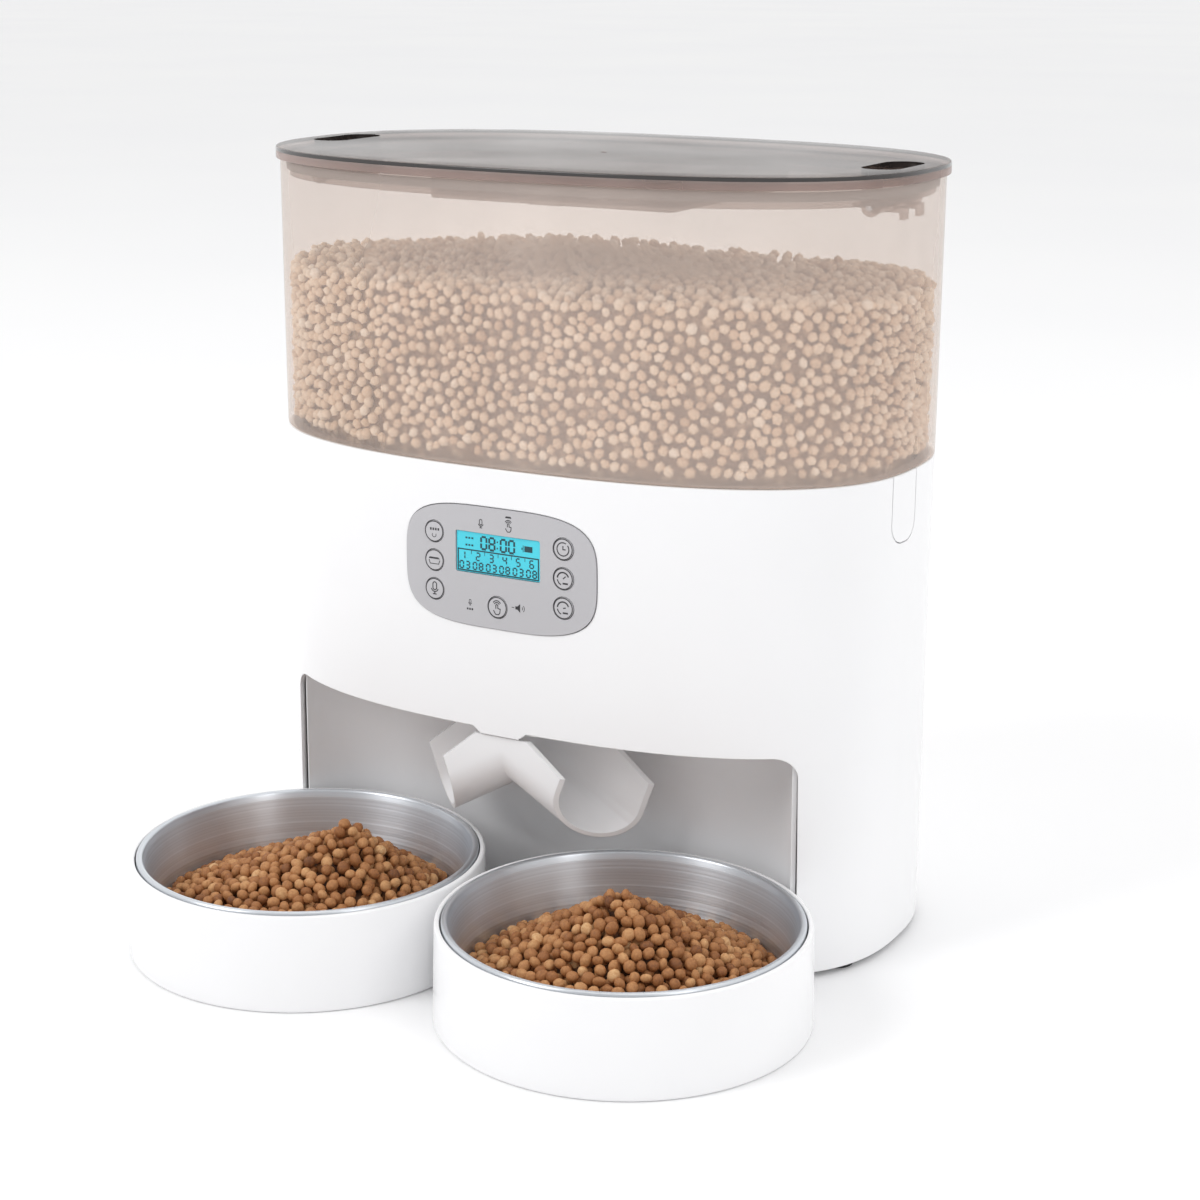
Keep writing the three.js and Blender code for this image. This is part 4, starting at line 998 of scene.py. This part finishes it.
def lid_plate():
    edge, low = TOP_Z - LID_EDGE_DEPTH, TOP_Z - LID_SKIRT
    profile = rounded([(12, TOP_Z, 0), (-LID_LIP, TOP_Z, 0.9), (-LID_LIP, edge, 0), (-LID_LIP, low, 0.5),
                       (-GAP, low, 0.3), (-GAP, PLATE_Z, 0.2), (12, PLATE_Z, 0)], closed=False)
    plate = solid("tool", *skin(plan_rings(profile)[::-1], False, True))
    paint(plate.data, SMOKE, LID_EDGE, SKIRT)
    combine(plate, "DIFFERENCE", slot_tool(-1), slot_tool(1))
    for face in plate.data.polygons:
        centre, out = face.center, face.normal
        near_slot = abs(abs(centre.x) - SLOT_X) < SLOT_HALF_X + 0.3 and abs(centre.y) < SLOT_HALF_Y + 0.3
        upright = abs(out.z) < 0.75
        if upright and (near_slot or centre.z > edge):
            face.material_index = 1
        elif centre.z < PLATE_Z - 0.1:
            face.material_index = 2
    return settle(plate, "lid_plate", "lid", None, ["lid"], 30, [(-LID_LIP, 1)])


def lid_inside():
    """The plug wall, the desiccant box walls and the latch lugs under the plate."""
    low = PLATE_Z - PLUG_DEPTH
    plug = rounded([(PLUG_INSET, PLATE_Z, 0), (PLUG_INSET, low, 0.6), (PLUG_INSET + 1.8, low, 0.6),
                    (PLUG_INSET + 1.8, low + 2.5, 0)], closed=False)
    wall = solid("tool", *skin(plan_rings(plug)[::-1], closed=False))
    settle(wall, "lid_plug", "lid", SMOKE_BOX, (), 30, [(PLUG_INSET, 1)])
    rings = []
    for inset, z in ((0, PLATE_Z), (0, DRY_LOW + 0.6), (0.2, DRY_LOW + 0.1), (0.9, DRY_LOW), (1.8, DRY_LOW),
                     (1.8, DRY_LOW + 2.0)):
        x, y = DRY_HALF_X - inset, DRY_HALF_Y - inset
        flat = np.array(rounded_rectangle(DRY_X - x, -y, DRY_X + x, y, 3 - inset * 0.5))
        rings.append(np.column_stack([flat, np.full(len(flat), float(z))]))
    dry = solid("tool", *skin(rings[::-1], closed=False))
    settle(dry, "desiccant_box", "lid", SMOKE_BOX, (), 30)
    lugs = None
    for side in (-1, 1):
        for end in (-1, 1):
            x, y = side * LATCH_X, end * LATCH_Y
            outline = [(x + LATCH_R, PLATE_Z), (x - LATCH_R, PLATE_Z)]
            outline += arc(x, LATCH_Z, LATCH_R, 180, 360, 20)
            lug = prism(outline, y - 1.5, y + 1.5, "y")
            combine(lug, "DIFFERENCE", rod(1.8, -60, 60, (x, LATCH_Z)))
            lugs = lug if lugs is None else combine(lugs, "UNION", lug)
    bevel(lugs, 0.3, 2, 45)
    settle(lugs, "latch_lugs", "lid", CLEAR_PART)


lid_plate()
lid_inside()

mark = rounded([(0.2, TOP_Z - 0.05, 0), (1.3, TOP_Z - 0.05, 0.1), (1.1, TOP_Z + 0.16, 0.15),
                (0.2, TOP_Z + 0.2, 0)], closed=False)
dot = turned(mark, 4, -7, 32)
settle(dot, "moulding_mark", "lid", CLEAR_PART)


def frame_of_snap():
    """The raised frame round the snap tab of the desiccant cover."""
    x, y, z = DRY_X, -DRY_HALF_Y, DRY_LOW
    piece = box((x - 20, y - 1.6, z + 1.0), (x + 20, y - 0.05, z + 9.5))
    combine(piece, "DIFFERENCE", box((x - 10, y - 5, z - 5), (x + 10, y + 5, z + 7)))
    bevel(piece, 0.35, 2)
    settle(piece, "snap_frame", "lid", SMOKE_BOX)


frame_of_snap()


# ---- bowls -----------------------------------------------------------------------------------
STAND_SECTION = [(1, 0, 0), (79.4, 0, 1.4), (78.7, 42, 1.0), (76.5, 42, 0.6), (76.2, 3, 0), (1, 3, 0)]
STEEL_SECTION = [(1, 3.4, 0), (61, 3.4, 3), (68, 8.4, 6), (73.5, 39.8, 0.6), (75.9, 40.2, 0.5),
                 (75.9, 42.8, 1.2), (73.2, 42.8, 1.3), (72.3, 39.6, 0.5), (66.8, 9.0, 7), (60.4, 4.6, 4),
                 (1, 4.6, 0)]


def bowl(side, word):
    x = side * BOWL_X
    stand = rounded(STAND_SECTION, False, 5)
    settle(turned(stand, x, BOWL_Y, 192), f"stand_shell_{word}", f"stand_{word}", WHITE,
           [f"bowl_stand_{word}"], 30)
    made = turned(rounded(STEEL_SECTION, False, 6), 0, 0, 192)
    made.name = made.data.name = f"steel_dish_{word}"
    made.data.transform(Matrix.Diagonal((MM, MM, MM, 1)))
    shade(made.data, 35, ())
    paint(made.data, STEEL)
    made.location = (x * MM, (BOWL_Y + BODY_Y) * MM, 0)
    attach(made, f"steel_{word}")
    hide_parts(f"steel_bowl_{word}")


for side, word in SIDES:
    bowl(side, word)


# ---- food ------------------------------------------------------------------------------------
def apart(candidates, distance):
    """The candidates that stand at least that far from every earlier one kept."""
    kept, cells = [], {}
    for point in candidates:
        cell = tuple((point // distance).astype(int))
        close = False
        for dx in (-1, 0, 1):
            for dy in (-1, 0, 1):
                for dz in (-1, 0, 1):
                    for other in cells.get((cell[0] + dx, cell[1] + dy, cell[2] + dz), ()):
                        if np.sum((other - point) ** 2) < distance * distance:
                            close = True
        if not close:
            cells.setdefault(cell, []).append(point)
            kept.append(point)
    return np.array(kept)


def pellet_shapes(rng, detail, count=7):
    """A few lumpy rounded pieces of unit radius."""
    mesh = bmesh.new()
    bmesh.ops.create_icosphere(mesh, subdivisions=detail, radius=1.0)
    points = np.array([v.co for v in mesh.verts])
    faces = np.array([[v.index for v in f.verts] for f in mesh.faces])
    mesh.free()
    shapes = []
    for _ in range(count):
        bumps = rng.normal(size=(5, 3))
        bumps /= np.linalg.norm(bumps, axis=1)[:, None]
        swell = sum(0.09 * rng.uniform(-1, 1) * np.exp(3.0 * (points @ b - 1)) for b in bumps)
        squash = np.array([rng.uniform(0.98, 1.14), rng.uniform(0.92, 1.04), rng.uniform(0.72, 0.9)])
        shapes.append(points * (1 + swell)[:, None] * squash)
    return shapes, faces


def pour(name, centres, radius, rng, detail, look, body):
    """One mesh of food pieces at those centres, each with its own turn, size and tone."""
    shapes, faces = pellet_shapes(rng, detail)
    count, per = len(centres), len(shapes[0])
    turns = rng.normal(size=(count, 4))
    turns /= np.linalg.norm(turns, axis=1)[:, None]
    w, x, y, z = turns.T
    rotation = np.stack([1 - 2 * (y * y + z * z), 2 * (x * y - w * z), 2 * (x * z + w * y),
                         2 * (x * y + w * z), 1 - 2 * (x * x + z * z), 2 * (y * z - w * x),
                         2 * (x * z - w * y), 2 * (y * z + w * x), 1 - 2 * (x * x + y * y)], 1)
    rotation = rotation.reshape(-1, 3, 3)
    which = rng.integers(0, len(shapes), count)
    size = radius * rng.uniform(0.9, 1.1, count)
    local = np.array(shapes)[which] * size[:, None, None]
    points = np.einsum("nij,nkj->nki", rotation, local) + np.asarray(centres)[:, None, :]
    points = (points.reshape(-1, 3) + (0, BODY_Y, 0)) * MM
    corners = (faces[None] + (np.arange(count) * per)[:, None, None]).reshape(-1)
    mesh = bpy.data.meshes.new(name)
    mesh.vertices.add(len(points))
    mesh.vertices.foreach_set("co", points.ravel())
    mesh.loops.add(len(corners))
    mesh.loops.foreach_set("vertex_index", corners.astype(np.int32))
    mesh.polygons.add(len(corners) // 3)
    mesh.polygons.foreach_set("loop_start", np.arange(0, len(corners), 3, dtype=np.int32))
    mesh.polygons.foreach_set("use_smooth", np.ones(len(corners) // 3, bool))
    tones = np.clip(rng.normal(0.5, 0.17, count), 0.05, 0.95)
    tone = mesh.attributes.new("tone", "FLOAT", "POINT")
    tone.data.foreach_set("value", np.repeat(tones, per).astype(np.float32))
    mesh.update(calc_edges=True)
    paint(mesh, look)
    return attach(placed(name, mesh), body)


def heap_height(x, y, apex, top, edge, reach):
    """Height of a heap that peaks at apex and meets the bowl's wall at edge."""
    r = np.hypot(x, y)
    toward = np.hypot(x - apex[0], y - apex[1])
    out = np.clip(toward / (toward + np.maximum(reach - r, 0) + 1e-6), 0, 1)
    return top - (top - edge) * out**0.84


HEAP_REACH, HEAP_TOP, HEAP_EDGE = 65.5, 53.0, 17.0
PELLET_R = 2.65


def heap(word, side, apex, seed):
    rng = np.random.default_rng(seed)
    reach, top, edge = HEAP_REACH, HEAP_TOP, HEAP_EDGE
    layers = []
    for depth, count in ((0.0, 26000), (4.4, 9000)):
        angle, r = rng.uniform(0, 2 * np.pi, count), reach * np.sqrt(rng.uniform(0, 1, count))
        x, y = r * np.cos(angle), r * np.sin(angle)
        z = heap_height(x, y, apex, top, edge, reach) - depth + rng.uniform(-1.3, 0.8, count)
        layers.append(apart(np.column_stack([x, y, z]), 4.35))
    centres = np.vstack(layers) + (side * BOWL_X, BOWL_Y, 0)
    pour(f"food_heap_{word}", centres, PELLET_R, rng, 2, FOOD, f"steel_{word}")
    rings = []
    for share in (1.0, 0.92, 0.8, 0.65, 0.5, 0.35, 0.2, 0.08):
        flat = superellipse(reach * share, reach * share, 2, 2, 72)
        z = heap_height(flat[:, 0], flat[:, 1], apex, top, edge, reach) - 5.5
        rings.append(np.column_stack([flat + (side * BOWL_X, BOWL_Y), z]))
    low = circle_ring(58, 5.2, 72, side * BOWL_X, BOWL_Y)
    wide = circle_ring(66, 12, 72, side * BOWL_X, BOWL_Y)
    # a darker core under the pieces: painted shade in the gaps between them
    core = solid("tool", *skin([low, wide, *rings], False, True))
    settle(core, f"food_under_{word}", f"steel_{word}", FOOD_CORE_GAP_SHADE, (), 60)


heap("right", 1, (-4, 3), 11)
heap("left", -1, (13, 13), 23)


def hopper_food():
    rng = np.random.default_rng(5)
    count = 90000
    inset = CLEAR_WALL + 2.0
    ring = superellipse(HALF_WIDTH - inset, HALF_DEPTH - inset, POWER_X, POWER_Y, 1440)
    pick = rng.integers(0, len(ring), count)
    z = rng.uniform(JOINT_Z + 4.5, FOOD_TOP - 1, count)
    low = np.clip((z - 212.5) / 11.1, 0, 1)
    inward = rng.uniform(0.0, 1.1, count) + (1 - low) * 5
    flat = ring[pick] * plan_scale(z)[:, None] * (1 - inward / 120)[:, None]
    wall = apart(np.column_stack([flat, z]), 4.3)
    u, v = rng.uniform(-1, 1, 60000), rng.uniform(-1, 1, 60000)
    x, y = u * (HALF_WIDTH - 5.4), v * (HALF_DEPTH - 5.4)
    inside = (np.abs(u) ** POWER_X + np.abs(v) ** POWER_Y) < 1
    lift = 1.6 * np.sin(x / 31) * np.cos(y / 27 + 1) + rng.uniform(-1.2, 1.2, len(x))
    top = apart(np.column_stack([x, y, FOOD_TOP + lift])[inside], 5.2)
    # the hopper's food uses the paler copy: painted light for the dim inside of the tank
    pour("food_in_hopper", np.vstack([wall, top]), PELLET_R, rng, 1, PALE_FOOD_PAINTED_LIGHT, "hopper")
    rings = []
    for z in (168, 180, 195, 210):
        t = (z - 161.6) / 50.9
        ring = (1 - t) * circle_ring(DRUM_INNER, z, 96) + t * plan_ring(9.0, z, 96)
        rings.append(ring * (0.985, 0.98, 1))
    rings += [plan_ring(10, 214, 96), plan_ring(8.5, 224, 96), plan_ring(8.0, FOOD_TOP - 6, 96),
              plan_ring(11, FOOD_TOP - 3.4, 96)]
    # a darker core under the pieces: painted shade in the gaps between them
    core = solid("tool", *skin(rings, False, True))
    settle(core, "food_core", "hopper", PALE_CORE_PAINTED_LIGHT_AND_SHADE, (), 40)


hopper_food()


# ---- CAD nodes that stay ---------------------------------------------------------------------
STAYING = (
    (INNER_WHITE, "base_plate battery_door food_chute drum_floor"),
    (BLACK, "battery_case gearbox_cover speaker microphone power_socket"),
    (BOARD, "main_board display_board"),
    (NYLON, "wheel_deck drive_gear drive_shaft motor_pinion"),
    (PLATED, "feed_motor battery_contact_front battery_contact_rear latch_pin_left latch_pin_right"),
    (PLATED, "base_screw_front_left base_screw_front_right base_screw_rear_left base_screw_rear_right"),
    (RUBBER, "foot_front_left foot_front_right foot_rear_left foot_rear_right"),
    (SILICONE, "metering_wheel stirrer"),
    (GASKET, "lid_gasket"),
    (SMOKE_BOX, "desiccant_cover"),
    (CLEAR_PART, "lid_latch_left lid_latch_right"),
    (LCD_LOOK, "lcd_display"),
)
EDGE_WIDTH = 0.0002
WIDER_EDGES = {"lid_latch_left": 0.0003, "lid_latch_right": 0.0003, "desiccant_cover": 0.00025}


def dress(name, look):
    """A material and small rounded edges for a CAD node that is shown as it is."""
    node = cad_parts[name]
    paint(node.data, look)
    weld = node.modifiers.new("weld", "WELD")
    weld.merge_threshold = 0.000001
    edge = node.modifiers.new("edge", "BEVEL")
    edge.width = WIDER_EDGES.get(name, EDGE_WIDTH)
    edge.segments = 2
    edge.limit_method = "ANGLE"
    edge.angle_limit = math.radians(40)
    edge.harden_normals = True


for look, names in STAYING:
    for name in names.split():
        dress(name, look)


# ---- floor and light -------------------------------------------------------------------------
def floor():
    look = Look("floor")
    ends = (NOISE_LOW, linear((247, 247, 248))), (NOISE_HIGH, linear((250, 250, 250)))
    tone = look.ramp(look.noise(1.2, 2.0), *ends)
    normal = look.bump(look.noise(60.0, 2.0), 0.0001, 0.1)
    shader = look.principled(Base_Color=tone, Roughness=0.55, Normal=normal)
    ground = solid("floor", [(x, y, 0) for x, y in corners(-40, -40, 40, 40)], [(0, 1, 2, 3)])
    paint(ground.data, look.finish(shader))


def lamp(name, place, target, size, power):
    data = bpy.data.lights.new(name, "AREA")
    data.shape = "RECTANGLE"
    data.size, data.size_y = size
    data.energy = power
    obj = placed(name, data)
    obj.location = place
    obj.rotation_euler = (Vector(target) - Vector(place)).to_track_quat("-Z", "Y").to_euler()


def sky():
    """A white studio that is greyer on the viewer's side, for the steel and the gloss to show."""
    world = bpy.data.worlds.new("studio")
    bpy.context.scene.world = world
    world.use_nodes = True
    tree = world.node_tree
    background = tree.nodes["Background"]
    place = tree.nodes.new("ShaderNodeTexCoord")
    parts = tree.nodes.new("ShaderNodeSeparateXYZ")
    tree.links.new(place.outputs["Generated"], parts.inputs[0])
    ramp = tree.nodes.new("ShaderNodeValToRGB")
    ramp.color_ramp.elements[0].color = (0.62, 0.62, 0.63, 1)
    side = tree.nodes.new("ShaderNodeMapRange")
    side.inputs["From Min"].default_value = -0.75
    side.inputs["From Max"].default_value = -0.05
    tree.links.new(parts.outputs["Y"], side.inputs["Value"])
    tree.links.new(side.outputs["Result"], ramp.inputs["Fac"])
    tree.links.new(ramp.outputs["Color"], background.inputs["Color"])


floor()
lamp("key_light", (-1.3, -1.9, 2.0), (0, 0, 0.15), (1.1, 1.5), 27)
lamp("side_light", (1.9, -0.9, 1.2), (0, 0, 0.15), (0.6, 1.4), 5)
lamp("top_light", (0.1, 0.5, 2.3), (0, 0, 0.1), (1.6, 1.2), 6)
sky()
bpy.context.scene.view_settings.view_transform = "Standard"
